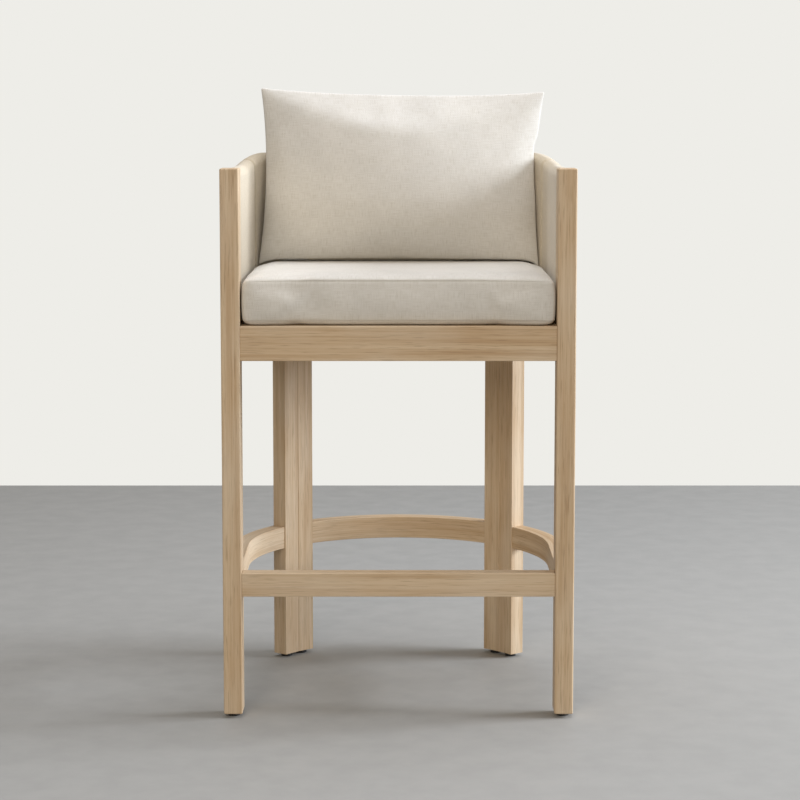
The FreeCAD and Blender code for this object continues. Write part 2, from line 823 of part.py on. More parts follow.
def build_frame(document, size):
    """Legs, rails, deck, blocks, glides and their fasteners."""
    nodes = []
    rail_levels = {
        "seat_rail": (size["seat_rail_bottom"], size["seat_rail_top"]),
        "footrest_rail": (size["footrest_rail_bottom"], size["footrest_rail_top"]),
    }
    dowel = dowel_blank(document, "rail_dowel", size["dowel_radius"], size["dowel_length"])
    thin_dowel = dowel_blank(
        document, "barrel_dowel", size["barrel_dowel_radius"], size["barrel_dowel_length"]
    )
    screw_head_height = size["screw_head_radius"] - size["screw_radius"]
    screw = headed_blank(
        document,
        "wood_screw",
        size["screw_radius"],
        size["screw_head_radius"],
        size["screw_length"],
        screw_head_height,
    )
    nail = headed_blank(
        document,
        "glide_nail",
        size["nail_radius"],
        size["nail_head_radius"],
        size["nail_length"],
        size["nail_radius"],
    )

    fasteners = []
    for level, (bottom, top) in rail_levels.items():
        fasteners.append(group(document, f"{level}_dowels", dowel, rail_dowel_spots(size, bottom, top)))
    fasteners.append(group(document, "barrel_dowels", thin_dowel, barrel_dowel_spots(size)))
    deck_spots, block_spots = screw_spots(size)
    fasteners.append(group(document, "deck_screws", screw, deck_spots))
    fasteners.append(group(document, "corner_block_screws", screw, block_spots))
    glides = glide_spots(size)
    nail_head = FreeCAD.Vector(0, 0, size["glide_height"].value / 2)
    driven_up = FreeCAD.Vector(0, 0, -1)
    nail_spots = [(point + nail_head, driven_up) for point in glides.values()]
    fasteners.append(group(document, "glide_nails", nail, on_both_sides(nail_spots)))
    drill = document.addObject("Part::Compound", "drilling")
    drill.Links = fasteners

    handed = {"front_leg": front_leg_blank(document, size)}
    handed["back_leg_side_stave"] = stave_blank(document, size, "side_stave_blank", 0)
    handed["back_leg_rear_stave"] = stave_blank(document, size, "rear_stave_blank", 1)
    for level, (bottom, top) in rail_levels.items():
        handed[f"{level}_side"] = side_rail_blank(document, size, f"{level}_side_blank", bottom, top)
    handed["corner_block_front"] = front_block_blank(document, size)
    handed["corner_block_back"] = back_block_blank(document, size)
    for name, point in glides.items():
        handed[f"{name}_glide"] = glide_blank(document, size, f"{name}_glide", point)
    for name, blank in handed.items():
        right = cut(document, f"{name}_right", blank, drill)
        nodes += [right, mirror(document, f"{name}_left", right)]

    for level, (bottom, top) in rail_levels.items():
        front = front_rail_blank(document, size, f"{level}_front_blank", bottom, top)
        nodes.append(cut(document, f"{level}_front", front, drill))
        back = back_rail_blank(document, size, f"{level}_back_blank", bottom, top)
        nodes.append(cut(document, f"{level}_back", back, drill))
    nodes.append(cut(document, "seat_deck", deck_blank(document, size), drill))
    return nodes + fasteners, drill


def build_barrel(document, size, drill):
    """The bent core, its foam and the four panels of its cover."""
    core = whole_barrel_blank(document, size, "barrel_core_blank", core_section)
    foam = whole_barrel_blank(document, size, "barrel_foam_blank", foam_section)
    seam = RISE_STEPS // 2
    name = "barrel_cover_inside_right"
    arm = arm_blank(document, size, name, inside_cover_section)
    rise = rise_blank(document, size, name, inside_cover_section, 0, seam)
    inside_right = fuse(document, name, [arm, rise])
    name = "barrel_cover_inside_back"
    rise = rise_blank(document, size, name, inside_cover_section, seam, RISE_STEPS)
    other_rise = mirror(document, f"{name}_other_rise", rise)
    arc = arc_blank(document, size, name, inside_cover_section)
    inside_back = fuse(document, name, [rise, arc, other_rise])
    return [
        cut(document, "barrel_core", core, drill),
        cut(document, "barrel_foam", foam, drill),
        inside_right,
        mirror(document, "barrel_cover_inside_left", inside_right),
        inside_back,
        whole_barrel_blank(document, size, "barrel_cover_outside", outside_cover_section),
    ]


def build_cushions(document, size):
    """The loose seat cushion and back pillow: cover, filling and zip of each."""
    zero = as_size(0)
    foam = cushion_blank(document, size, "seat_cushion_foam", size["cushion_cover"])
    cushion_zip = cushion_zip_blank(document, size)
    cushion = cushion_blank(document, size, "seat_cushion_outer", zero)
    cushion_inside = document.addObject("Part::Compound", "seat_cushion_inside")
    cushion_inside.Links = [foam, cushion_zip]

    fill = pillow_blank(document, size, "back_pillow_fill", size["pillow_cover"])
    pillow_zip = pillow_zip_blank(document, size)
    pillow = pillow_blank(document, size, "back_pillow_outer", zero)
    pillow_inside = document.addObject("Part::Compound", "back_pillow_inside")
    pillow_inside.Links = [fill, pillow_zip]
    return [
        cut(document, "seat_cushion_cover", cushion, cushion_inside),
        foam,
        cushion_zip,
        cut(document, "back_pillow_cover", pillow, pillow_inside),
        fill,
        pillow_zip,
    ]


def check_document(document):
    """Stop at an object that did not compute."""
    for item in document.Objects:
        if "Invalid" in item.State or "Error" in item.State:
            raise RuntimeError(f"{item.Name} did not compute: {item.State}")


def export_nodes(nodes):
    """Check each piece and write it under its label."""
    os.makedirs("parts", exist_ok=True)
    for node in nodes:
        shape = node.Shape
        if shape.isNull() or not shape.isValid() or not shape.Solids:
            raise RuntimeError(f"{node.Label} has no valid solid")
        shape.exportStep(f"parts/{node.Label}.step")
        print(f"{node.Label}: {len(shape.Solids)} solid(s), {shape.Volume / 1000:.1f} cm3")


def main():
    """Build the stool and write its pieces."""
    document = FreeCAD.newDocument("barrel_stool")
    size = make_sheet(document)
    frame_nodes, drill = build_frame(document, size)
    nodes = frame_nodes + build_barrel(document, size, drill) + build_cushions(document, size)
    document.recompute()
    check_document(document)
    export_nodes(nodes)


main()
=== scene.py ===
"""Counter-height stool: pale oak frame, footrest ring, linen barrel back and two loose cushions."""

import logging
import math
from dataclasses import dataclass, field
from enum import Enum
from typing import Callable, Iterable, Mapping, Union

import bmesh
import bpy
from mathutils import Matrix, Vector, noise
from mathutils.bvhtree import BVHTree


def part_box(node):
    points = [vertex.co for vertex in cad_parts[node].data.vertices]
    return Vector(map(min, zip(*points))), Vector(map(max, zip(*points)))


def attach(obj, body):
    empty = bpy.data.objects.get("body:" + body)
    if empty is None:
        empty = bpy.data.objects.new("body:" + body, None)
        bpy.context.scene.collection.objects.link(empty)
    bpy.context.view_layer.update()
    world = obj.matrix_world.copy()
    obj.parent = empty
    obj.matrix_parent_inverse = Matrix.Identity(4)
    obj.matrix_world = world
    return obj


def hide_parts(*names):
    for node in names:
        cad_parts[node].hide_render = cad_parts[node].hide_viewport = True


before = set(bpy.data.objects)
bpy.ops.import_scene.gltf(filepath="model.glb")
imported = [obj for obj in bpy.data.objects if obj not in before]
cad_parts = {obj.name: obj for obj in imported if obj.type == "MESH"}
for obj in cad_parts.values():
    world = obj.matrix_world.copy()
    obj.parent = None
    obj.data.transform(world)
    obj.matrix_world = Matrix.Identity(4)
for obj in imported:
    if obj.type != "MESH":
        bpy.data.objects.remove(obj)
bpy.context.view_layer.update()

log = logging.getLogger("barrel_stool")
logging.basicConfig(level=logging.INFO, format="%(name)s: %(message)s")

MM = 0.001
Material, Piece = bpy.types.Material, bpy.types.Object
Node, NodeTree, Socket = bpy.types.Node, bpy.types.NodeTree, bpy.types.NodeSocket
Sheet = bmesh.types.BMesh
Setting = Union[float, int, bool, str, tuple]
Link = Union[float, int, tuple, Socket, Node]


# ---- colours and nodes


def linear(colour: str) -> tuple[float, float, float, float]:
    """Turn an sRGB hex colour into linear RGBA.

    Args:
        colour: A hex colour such as "#C9B091".

    Returns:
        The linear red, green, blue and an alpha of one.
    """
    parts = [int(colour[place : place + 2], 16) / 255 for place in (1, 3, 5)]
    curve = [part / 12.92 if part <= 0.04045 else ((part + 0.055) / 1.055) ** 2.4 for part in parts]
    return (curve[0], curve[1], curve[2], 1.0)


def add_node(
    tree: NodeTree, kind: str, inputs: Mapping[Union[str, int], Link] | None = None, **settings: Setting
) -> Node:
    """Add one shader node with its settings, constants and links.

    Args:
        tree: The node tree that gets the node.
        kind: The shader node's type, such as "TexNoise".
        inputs: Constants, output sockets or nodes to link (by their first output), by socket name
            or number.
        settings: Attributes of the node.

    Returns:
        The new node.
    """
    node = tree.nodes.new(f"ShaderNode{kind}")
    for name, value in settings.items():
        setattr(node, name, value)
    for name, value in (inputs or {}).items():
        if isinstance(value, Node):
            value = value.outputs[0]
        if isinstance(value, Socket):
            tree.links.new(value, node.inputs[name])
        else:
            node.inputs[name].default_value = value
    return node


def new_material(name: str) -> tuple[Material, NodeTree]:
    """Make an empty node material.

    Args:
        name: The material's name.

    Returns:
        The material and its cleared node tree.
    """
    material = bpy.data.materials.new(name)
    material.use_nodes = True
    material.node_tree.nodes.clear()
    return material, material.node_tree


def lay_over(
    tree: NodeTree, under: Link, over: str, pattern: Link, span: tuple[float, ...] | None = None
) -> Socket:
    """Lay a second colour over a first where a pattern is strong.

    Args:
        tree: The material's node tree.
        under: The colour below.
        over: The colour above, as sRGB hex.
        pattern: The value that says how much of the upper colour shows.
        span: The pattern's low and high and the shares they stand for, or None for the pattern itself.

    Returns:
        The mixed colour.
    """
    if span is not None:
        limits = dict(enumerate(span, start=1))
        pattern = add_node(tree, "MapRange", {0: pattern, **limits})
    mixed = add_node(tree, "Mix", {0: pattern, 6: under, 7: linear(over)}, data_type="RGBA")
    return mixed.outputs[2]


def add_surface(
    tree: NodeTree,
    colour: Link,
    roughness: Link,
    relief: tuple[Link, float, float],
    constants: Mapping[str, float],
) -> None:
    """Finish a material with a bumped Principled surface.

    Args:
        tree: The material's node tree.
        colour: The base colour.
        roughness: The roughness.
        relief: The height, how strongly it shows and its depth in mm.
        constants: Plain values on the shader's own sockets.
    """
    height, strength, depth = relief
    bump = add_node(tree, "Bump", {"Strength": strength, "Distance": depth * MM, "Height": height})
    inputs = {"Base Color": colour, "Roughness": roughness, "Normal": bump, **constants}
    shader = add_node(tree, "BsdfPrincipled", inputs)
    add_node(tree, "OutputMaterial", {"Surface": shader})


# ---- finishes


class Grain(Enum):
    """The way the grain runs in a wooden piece."""

    UPRIGHT = "upright"
    ACROSS = "across"
    HORSESHOE = "horseshoe"


@dataclass(frozen=True)
class WhitewashedOak:
    """Straight-grained white oak, planed, limed and oiled matt.

    The eye gets a pale straw brown with fine darker pores along the grain, soft wider bands
    where the growth rings rise, and a milky haze in the pores from the liming.
    """

    name: str
    grain: Grain
    arc_centre: float
    arc_radius: float
    early_wood: str = "#CCB493"
    late_wood: str = "#B4956F"
    pore: str = "#937551"
    lime: str = "#DACDB8"
    ring_mm: tuple[float, float] = (9.0, 520.0)
    fibre_mm: tuple[float, float] = (2.6, 190.0)
    pore_mm: tuple[float, float] = (1.5, 42.0)
    cloud_mm: tuple[float, float] = (60.0, 160.0)

    def along_the_grain(self, tree: NodeTree) -> Socket:
        """Coordinates in metres with Z along the grain.

        Args:
            tree: The material's node tree.

        Returns:
            A vector of two distances across the grain and one along it.
        """
        place = add_node(tree, "TexCoord").outputs["Object"]
        split = add_node(tree, "SeparateXYZ", {0: place}).outputs
        if self.grain is Grain.UPRIGHT:
            parts = (split["X"], split["Y"], split["Z"])
        elif self.grain is Grain.ACROSS:
            parts = (split["Y"], split["Z"], split["X"])
        else:
            parts = self.round_the_horseshoe(tree, split)
        joined = add_node(tree, "CombineXYZ", {"X": parts[0], "Y": parts[1], "Z": parts[2]})
        board = add_node(tree, "ObjectInfo").outputs["Random"]
        shift = add_node(tree, "VectorMath", {0: (3.1, 1.7, 7.3), "Scale": board}, operation="SCALE")
        moved = add_node(tree, "VectorMath", {0: joined, 1: shift}, operation="ADD")
        return moved.outputs[0]

    def round_the_horseshoe(
        self, tree: NodeTree, split: bpy.types.bpy_prop_collection
    ) -> tuple[Socket, ...]:
        """Distances across, up and along a rail that is straight in front and round behind.

        Args:
            tree: The material's node tree.
            split: The separated object coordinates.

        Returns:
            The distance from the middle line, the height and the distance along the rail.
        """
        behind = add_node(tree, "Math", {0: split["Y"], 1: self.arc_centre}, operation="SUBTRACT")
        round_part = add_node(tree, "Math", {0: behind, 1: 0.0}, operation="MAXIMUM")
        straight_part = add_node(tree, "Math", {0: behind, 1: 0.0}, operation="MINIMUM")
        angle = add_node(tree, "Math", {0: round_part, 1: split["X"]}, operation="ARCTAN2")
        arc = add_node(tree, "Math", {0: angle, 1: self.arc_radius}, operation="MULTIPLY")
        side = add_node(tree, "Math", {0: split["X"]}, operation="SIGN")
        run = add_node(tree, "Math", {0: side, 1: straight_part}, operation="MULTIPLY")
        along = add_node(tree, "Math", {0: arc, 1: run}, operation="ADD")
        flat = add_node(tree, "CombineXYZ", {"X": split["X"], "Y": round_part})
        radius = add_node(tree, "VectorMath", {0: flat}, operation="LENGTH")
        return radius.outputs["Value"], split["Z"], along.outputs[0]

    def streaks(
        self, tree: NodeTree, place: Socket, size_mm: tuple[float, float], detail: float
    ) -> Socket:
        """Noise drawn out along the grain.

        Args:
            tree: The material's node tree.
            place: Coordinates with Z along the grain.
            size_mm: Width and length of one streak.
            detail: Octaves of finer noise.

        Returns:
            A value from nought to one.
        """
        across, along = (1 / (size * MM) for size in size_mm)
        stretched = add_node(
            tree, "VectorMath", {0: place, 1: (across, across, along)}, operation="MULTIPLY"
        )
        inputs = {"Vector": stretched, "Scale": 1.0, "Detail": detail, "Roughness": 0.55}
        texture = add_node(tree, "TexNoise", inputs, noise_dimensions="3D")
        return texture.outputs["Fac"]

    def build(self) -> Material:
        """Make the oak material.

        Returns:
            The material.
        """
        material, tree = new_material(self.name)
        place = self.along_the_grain(tree)
        rings = self.streaks(tree, place, self.ring_mm, 3.0)
        fibres = self.streaks(tree, place, self.fibre_mm, 4.0)
        pores = self.streaks(tree, place, self.pore_mm, 2.0)
        clouds = self.streaks(tree, place, self.cloud_mm, 2.0)
        rings_late = add_node(tree, "MapRange", {0: rings, 1: 0.36, 2: 0.66, 3: 0.0, 4: 0.85})
        fibres_late = add_node(tree, "MapRange", {0: fibres, 1: 0.38, 2: 0.66, 3: -0.18, 4: 0.30})
        late = add_node(tree, "Math", {0: rings_late, 1: fibres_late}, operation="ADD", use_clamp=True)
        colour = lay_over(tree, linear(self.early_wood), self.late_wood, late)
        pored = add_node(tree, "MapRange", {0: pores, 1: 0.56, 2: 0.70, 3: 0.0, 4: 0.62})
        colour = lay_over(tree, colour, self.pore, pored)
        colour = lay_over(tree, colour, self.lime, clouds, (0.40, 0.70, 0.04, 0.34))
        roughness = add_node(tree, "MapRange", {0: fibres, 1: 0.3, 2: 0.7, 3: 0.44, 4: 0.60})
        height = add_node(tree, "Math", {0: fibres, 1: pored}, operation="SUBTRACT")
        add_surface(tree, colour, roughness, (height, 0.35, 0.25), {"IOR": 1.5})
        return material


@dataclass(frozen=True)
class LinenWeave:
    """Heavy linen-blend plain weave in oatmeal, read from the piece's own UV map in metres.

    The eye gets a fine criss-cross of warp and weft with thicker, darker slubs running both ways,
    a slightly flecked colour, and a soft pale sheen at the turned edges. The dips of the weave
    are painted darker, as painted shade between the threads. The real threads stand 0.8 mm
    apart, which is too fine to show, so they are drawn at twice that.
    """

    name: str
    thread: str = "#D6D3CC"
    # Colour of the darker slubs and of the painted shade in the dips of the weave.
    dark_slub_and_painted_weave_shade: str = "#C1BCB1"
    fleck: str = "#ABA495"
    pitch_mm: float = 1.6
    slub_width_mm: float = 1.1
    slub_length_mm: float = 20.0

    def slubs(self, tree: NodeTree, place: Socket, lengthwise: bool, length_mm: float) -> Socket:
        """Thick and thin stretches of the threads that run one way.

        Args:
            tree: The material's node tree.
            place: The UV coordinates in metres.
            lengthwise: True for threads along U, False for threads along V.
            length_mm: Length of one slub.

        Returns:
            A value from nought to one.
        """
        across = 1 / (self.slub_width_mm * MM)
        along = 1 / (length_mm * MM)
        scale = (along, across, 1.0) if lengthwise else (across, along, 1.0)
        shift = (0.0, 0.0, 0.0) if lengthwise else (17.0, 5.0, 3.0)
        drawn_out = add_node(tree, "Mapping", {"Vector": place, "Location": shift, "Scale": scale})
        inputs = {"Vector": drawn_out, "Scale": 1.0, "Detail": 2.0, "Roughness": 0.6}
        texture = add_node(tree, "TexNoise", inputs, noise_dimensions="2D")
        return texture.outputs["Fac"]

    def threads(self, tree: NodeTree, place: Socket) -> Socket:
        """The over-and-under of the plain weave.

        Args:
            tree: The material's node tree.
            place: The UV coordinates in metres.

        Returns:
            A height from nought to one.
        """
        wander = add_node(
            tree, "TexNoise", {"Vector": place, "Scale": 160.0, "Detail": 1.0}, noise_dimensions="2D"
        )
        inputs = {0: wander.outputs["Color"], "Scale": 0.9 * self.pitch_mm * MM}
        sway = add_node(tree, "VectorMath", inputs, operation="SCALE")
        moved = add_node(tree, "VectorMath", {0: place, 1: sway}, operation="ADD")
        split = add_node(tree, "SeparateXYZ", {0: moved}).outputs
        turns = math.pi / (self.pitch_mm * MM)
        waves = []
        for axis in ("X", "Y"):
            phase = add_node(tree, "Math", {0: split[axis], 1: turns}, operation="MULTIPLY")
            wave = add_node(tree, "Math", {0: phase}, operation="SINE")
            waves.append(wave.outputs[0])
        cross = add_node(tree, "Math", {0: waves[0], 1: waves[1]}, operation="MULTIPLY")
        height = add_node(tree, "Math", {0: cross, 1: 0.5, 2: 0.5}, operation="MULTIPLY_ADD")
        return height.outputs[0]

    def build(self) -> Material:
        """Make the linen material.

        Returns:
            The material.
        """
        material, tree = new_material(self.name)
        place = add_node(tree, "UVMap", uv_map=PANEL_UV).outputs[0]
        weave = self.threads(tree, place)
        weft = self.slubs(tree, place, True, self.slub_length_mm)
        warp = self.slubs(tree, place, False, self.slub_length_mm * 0.8)
        slub = add_node(tree, "Math", {0: weft, 1: warp}, operation="ADD")
        broad = add_node(
            tree, "TexNoise", {"Vector": place, "Scale": 14.0, "Detail": 3.0}, noise_dimensions="2D"
        )
        # Thick slubs tend to a darker yarn tone, and the weave's dips are darkened as painted shade.
        shade = add_node(tree, "MapRange", {0: slub, 1: 0.74, 2: 1.30, 3: 0.0, 4: 0.72})
        slub_tone_and_painted_weave_shade = add_node(
            tree, "Math", {0: weave, 1: -0.20, 2: shade}, operation="MULTIPLY_ADD", use_clamp=True
        )
        colour = lay_over(tree, linear(self.thread), self.dark_slub_and_painted_weave_shade, slub_tone_and_painted_weave_shade)
        colour = lay_over(tree, colour, self.fleck, warp, (0.66, 0.80, 0.0, 0.4))
        wash = add_node(tree, "MapRange", {0: broad, 1: 0.3, 2: 0.7, 3: 0.965, 4: 1.03})
        toned = add_node(tree, "VectorMath", {0: colour, "Scale": wash}, operation="SCALE")
        height = add_node(tree, "Math", {0: slub, 1: 0.7, 2: weave}, operation="MULTIPLY_ADD")
        sheen = {"Sheen Weight": 0.22, "Sheen Roughness": 0.45}
        constants = {"IOR": 1.45, "Specular IOR Level": 0.25, **sheen}
        add_surface(tree, toned, 0.92, (height, 0.36, 0.30), constants)
        return material


@dataclass(frozen=True)
class SpeckledFinish:
    """A plain finish with a fine random grain: moulded, cut, plated or painted surfaces.

    The eye gets a slightly uneven colour and a surface that catches the light in small
    points, as moulded nylon, cut foam, plated steel and sprayed floors do.
    """

    name: str
    light: str
    dark: str
    grit_mm: float
    roughness: float
    relief_mm: float
    metallic: float = 0.0
    stretch: tuple[float, float, float] = (1.0, 1.0, 1.0)

    def build(self) -> Material:
        """Make the material.

        Returns:
            The material.
        """
        material, tree = new_material(self.name)
        place = add_node(tree, "TexCoord").outputs["Object"]
        drawn = add_node(tree, "Mapping", {"Vector": place, "Scale": self.stretch})
        grit = add_node(
            tree, "TexNoise", {"Vector": drawn, "Scale": 1 / (self.grit_mm * MM), "Detail": 3.0}
        )
        colour = lay_over(tree, linear(self.light), self.dark, grit, (0.35, 0.65, 0.0, 1.0))
        low, high = max(self.roughness - 0.06, 0.02), min(self.roughness + 0.06, 1.0)
        rough = add_node(tree, "MapRange", {0: grit, 1: 0.3, 2: 0.7, 3: low, 4: high})
        add_surface(tree, colour, rough, (grit, 0.5, self.relief_mm), {"Metallic": self.metallic})
        return material


@dataclass(frozen=True)
class LayeredBirch:
    """Birch plywood or block: pale rotary-cut veneer with plies showing at the edges.

    The eye gets a pale face with wandering soft grain and thin darker glue lines.
    """

    name: str
    face: str = "#DCC39B"
    grain: str = "#C4A377"
    glue: str = "#8E6B45"
    ply_mm: float = 1.5

    def build(self) -> Material:
        """Make the plywood material.

        Returns:
            The material.
        """
        material, tree = new_material(self.name)
        place = add_node(tree, "TexCoord").outputs["Object"]
        drawn = add_node(tree, "Mapping", {"Vector": place, "Scale": (60.0, 7.0, 60.0)})
        figure = add_node(
            tree, "TexNoise", {"Vector": drawn, "Scale": 1.0, "Detail": 4.0, "Distortion": 0.6}
        )
        colour = lay_over(tree, linear(self.face), self.grain, figure)
        split = add_node(tree, "SeparateXYZ", {0: place})
        turns = 2 * math.pi / (self.ply_mm * MM)
        plies = add_node(tree, "Math", {0: split.outputs["Z"], 1: turns}, operation="MULTIPLY")
        wave = add_node(tree, "Math", {0: plies}, operation="SINE")
        colour = lay_over(tree, colour, self.glue, wave, (0.75, 1.0, 0.0, 0.5))
        add_surface(tree, colour, 0.62, (figure, 0.3, 0.2), {"IOR": 1.5})
        return material


@dataclass(frozen=True)
class ZipTape:
    """Woven tape with a moulded nylon coil along its middle.

    The eye gets a matt band with a row of small bright teeth.
    """

    name: str
    tape: str = "#B7AD99"
    coil: str = "#8F8573"
    tooth_mm: float = 1.6

    def build(self) -> Material:
        """Make the zip material.

        Returns:
            The material.
        """
        material, tree = new_material(self.name)
        place = add_node(tree, "TexCoord").outputs["Object"]
        split = add_node(tree, "SeparateXYZ", {0: place})
        turns = 2 * math.pi / (self.tooth_mm * MM)
        phase = add_node(tree, "Math", {0: split, 1: turns}, operation="MULTIPLY")
        teeth = add_node(tree, "Math", {0: phase}, operation="SINE")
        colour = lay_over(tree, linear(self.tape), self.coil, teeth, (-0.3, 0.5, 0.0, 1.0))
        add_surface(tree, colour, 0.55, (teeth, 0.8, 0.5), {"IOR": 1.45})
        return material


# ---- mesh helpers

PANEL_UV = "panel"


def new_piece(name: str, mesh: Sheet, material: Material) -> Piece:
    """Turn a bmesh into a smooth-shaded object at the origin.

    Args:
        name: The piece's name.
        mesh: The finished bmesh, which is freed.
        material: The piece's material.

    Returns:
        The new object.
    """
    data = bpy.data.meshes.new(name)
    mesh.to_mesh(data)
    mesh.free()
    data.materials.append(material)
    data.shade_smooth()
    piece = bpy.data.objects.new(name, data)
    bpy.context.scene.collection.objects.link(piece)
    return piece


def lay_out(piece: Piece, unfold: Callable[[Vector, Vector], tuple[float, float]]) -> None:
    """Give a piece its panel UVs, in metres.

    Args:
        piece: The piece to lay out.
        unfold: Gives U and V from a corner's place and its face's normal.
    """
    data = piece.data
    layer = data.uv_layers.get(PANEL_UV) or data.uv_layers.new(name=PANEL_UV)
    for polygon in data.polygons:
        for corner in polygon.loop_indices:
            place = data.vertices[data.loops[corner].vertex_index].co
            layer.data[corner].uv = unfold(place, polygon.normal)


def add_subdivision(piece: Piece, levels: int = 1) -> None:
    """Smooth a piece with the same subdivision in view and render.

    Args:
        piece: The piece.
        levels: How many times its faces are split.
    """
    modifier = piece.modifiers.new("smooth", "SUBSURF")
    modifier.levels = levels
    modifier.render_levels = levels


def soft_limit(distance: float, limit: float) -> float:
    """Let a distance grow, but never past the limit."""
    return limit * distance / (limit + abs(distance))


def weld_and_face_out(mesh: Sheet) -> None:
    """Merge doubles and turn all faces outwards."""
    bmesh.ops.remove_doubles(mesh, verts=mesh.verts, dist=0.02 * MM)
    bmesh.ops.recalc_face_normals(mesh, faces=mesh.faces)


def ease(value: float, low: float, high: float) -> float:
    """Rise smoothly from nought at low to one at high."""
    share = min(max((value - low) / (high - low), 0.0), 1.0)
    return share * share * (3 - 2 * share)


def ease_creases(piece: Piece, rounds: int) -> None:
    """Smooth away the creases of a simulated case that its filling would press out.

    Args:
        piece: The case.
        rounds: How many times each point moves halfway to its neighbours' middle.
    """
    mesh = bmesh.new()
    mesh.from_mesh(piece.data)
    for _ in range(rounds):
        bmesh.ops.smooth_vert(
            mesh, verts=mesh.verts, factor=0.5, use_axis_x=True, use_axis_y=True, use_axis_z=True
        )
    mesh.to_mesh(piece.data)
    mesh.free()


def dress_nodes(nodes: Iterable[str], material: Material) -> None:
    """Give carried-over parts a material through their own slots.

    Args:
        nodes: Names of the parts.
        material: The material that they get.
    """
    for name in nodes:
        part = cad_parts[name]
        for slot in part.material_slots:
            slot.material = material
        if not part.material_slots:
            part.data.materials.append(material)
    log.info("%s: %d parts", material.name, len(tuple(nodes)))


@dataclass(frozen=True)
class Inflation:
    """How a sewn case is blown up against its stuffing by cloth simulation."""

    pressure: float
    frames: int
    tension: float
    bending: float
    air: float = 3.0

    def run(self, piece: Piece) -> None:
        """Simulate the piece and keep the last frame as its mesh.

        Args:
            piece: The closed case, linked to the scene.
        """
        scene = bpy.context.scene
        modifier = piece.modifiers.new("stuffing", "CLOTH")
        settings = modifier.settings
        settings.quality = 6
        settings.mass = 0.3
        settings.air_damping = self.air
        settings.tension_stiffness = self.tension
        settings.compression_stiffness = self.tension
        settings.shear_stiffness = self.tension / 3
        settings.bending_stiffness = self.bending
        settings.use_pressure = True
        settings.uniform_pressure_force = self.pressure
        settings.effector_weights.gravity = 0.0
        modifier.point_cache.frame_start = 1
        modifier.point_cache.frame_end = self.frames
        for step in range(1, self.frames + 1):
            scene.frame_set(step)
        graph = bpy.context.evaluated_depsgraph_get()
        swollen = bpy.data.meshes.new_from_object(piece.evaluated_get(graph))
        piece.modifiers.remove(modifier)
        piece.data = swollen
        scene.frame_set(1)


# ---- horseshoe plan


@dataclass(frozen=True)
class Horseshoe:
    """The stool's plan: straight sides that meet a half circle behind, measured from the frame."""

    centre: float
    outside: float
    leg_back: float
    leg_inside: float
    spine: float

    @classmethod
    def from_frame(cls) -> "Horseshoe":
        """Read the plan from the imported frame.

        Returns:
            The plan.
        """
        leg_low, leg_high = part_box("front_leg_right")
        _, rail_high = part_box("seat_rail_back")
        centre = rail_high.y - leg_high.x
        return cls(centre, leg_high.x, leg_high.y, leg_low.x, (leg_high.x + leg_low.x) / 2)

    @property
    def straight(self) -> float:
        """Length of one straight side behind its front leg."""
        return self.centre - self.leg_back

    @property
    def whole_run(self) -> float:
        """Length of the horseshoe along its spine."""
        return 2 * self.straight + math.pi * self.spine

    def run_of(self, place: Vector) -> float:
        """Distance along the spine from the right front leg, for a place in the wall.

        Args:
            place: A place in the wall.

        Returns:
            The distance in metres.
        """
        behind = place.y - self.centre
        if behind >= 0:
            return self.straight + self.spine * math.atan2(behind, place.x)
        return self.straight + behind if place.x > 0 else self.whole_run - self.straight - behind

    def distance_of(self, place: Vector) -> float:
        """How far out a place lies from the stool's middle line."""
        return math.hypot(place.x, max(place.y - self.centre, 0.0))

    def outward_of(self, place: Vector) -> Vector:
        """The level direction away from the stool's middle line."""
        return Vector((place.x, max(place.y - self.centre, 0.0), 0.0)).normalized()

    def pull_in(self, place: Vector, limit: float) -> Vector:
        """Move a place level towards the middle line where it lies further out than the limit."""
        excess = self.distance_of(place) - limit
        return place - self.outward_of(place) * excess if excess > 0 else place


# ---- oak frame


@dataclass
class OakFrame:
    """The oak legs, staves and rails, which keep their shapes and get their grain."""

    plan: Horseshoe
    upright: tuple[str, ...] = (
        "front_leg_right",
        "front_leg_left",
        "back_leg_side_stave_right",
        "back_leg_side_stave_left",
        "back_leg_rear_stave_right",
        "back_leg_rear_stave_left",
    )
    across: tuple[str, ...] = ("seat_rail_front", "footrest_rail_front")
    horseshoe: tuple[str, ...] = (
        "seat_rail_side_right",
        "seat_rail_side_left",
        "seat_rail_back",
        "footrest_rail_side_right",
        "footrest_rail_side_left",
        "footrest_rail_back",
    )

    def finish_for(self, grain: Grain) -> Material:
        """Make the oak whose grain runs one way."""
        name = f"whitewashed oak, grain {grain.value}"
        return WhitewashedOak(name, grain, self.plan.centre, self.plan.spine).build()

    def dress(self) -> None:
        """Give every oak part its finish."""
        for grain, nodes in (
            (Grain.UPRIGHT, self.upright), (Grain.ACROSS, self.across), (Grain.HORSESHOE, self.horseshoe)
        ):
            dress_nodes(nodes, self.finish_for(grain))


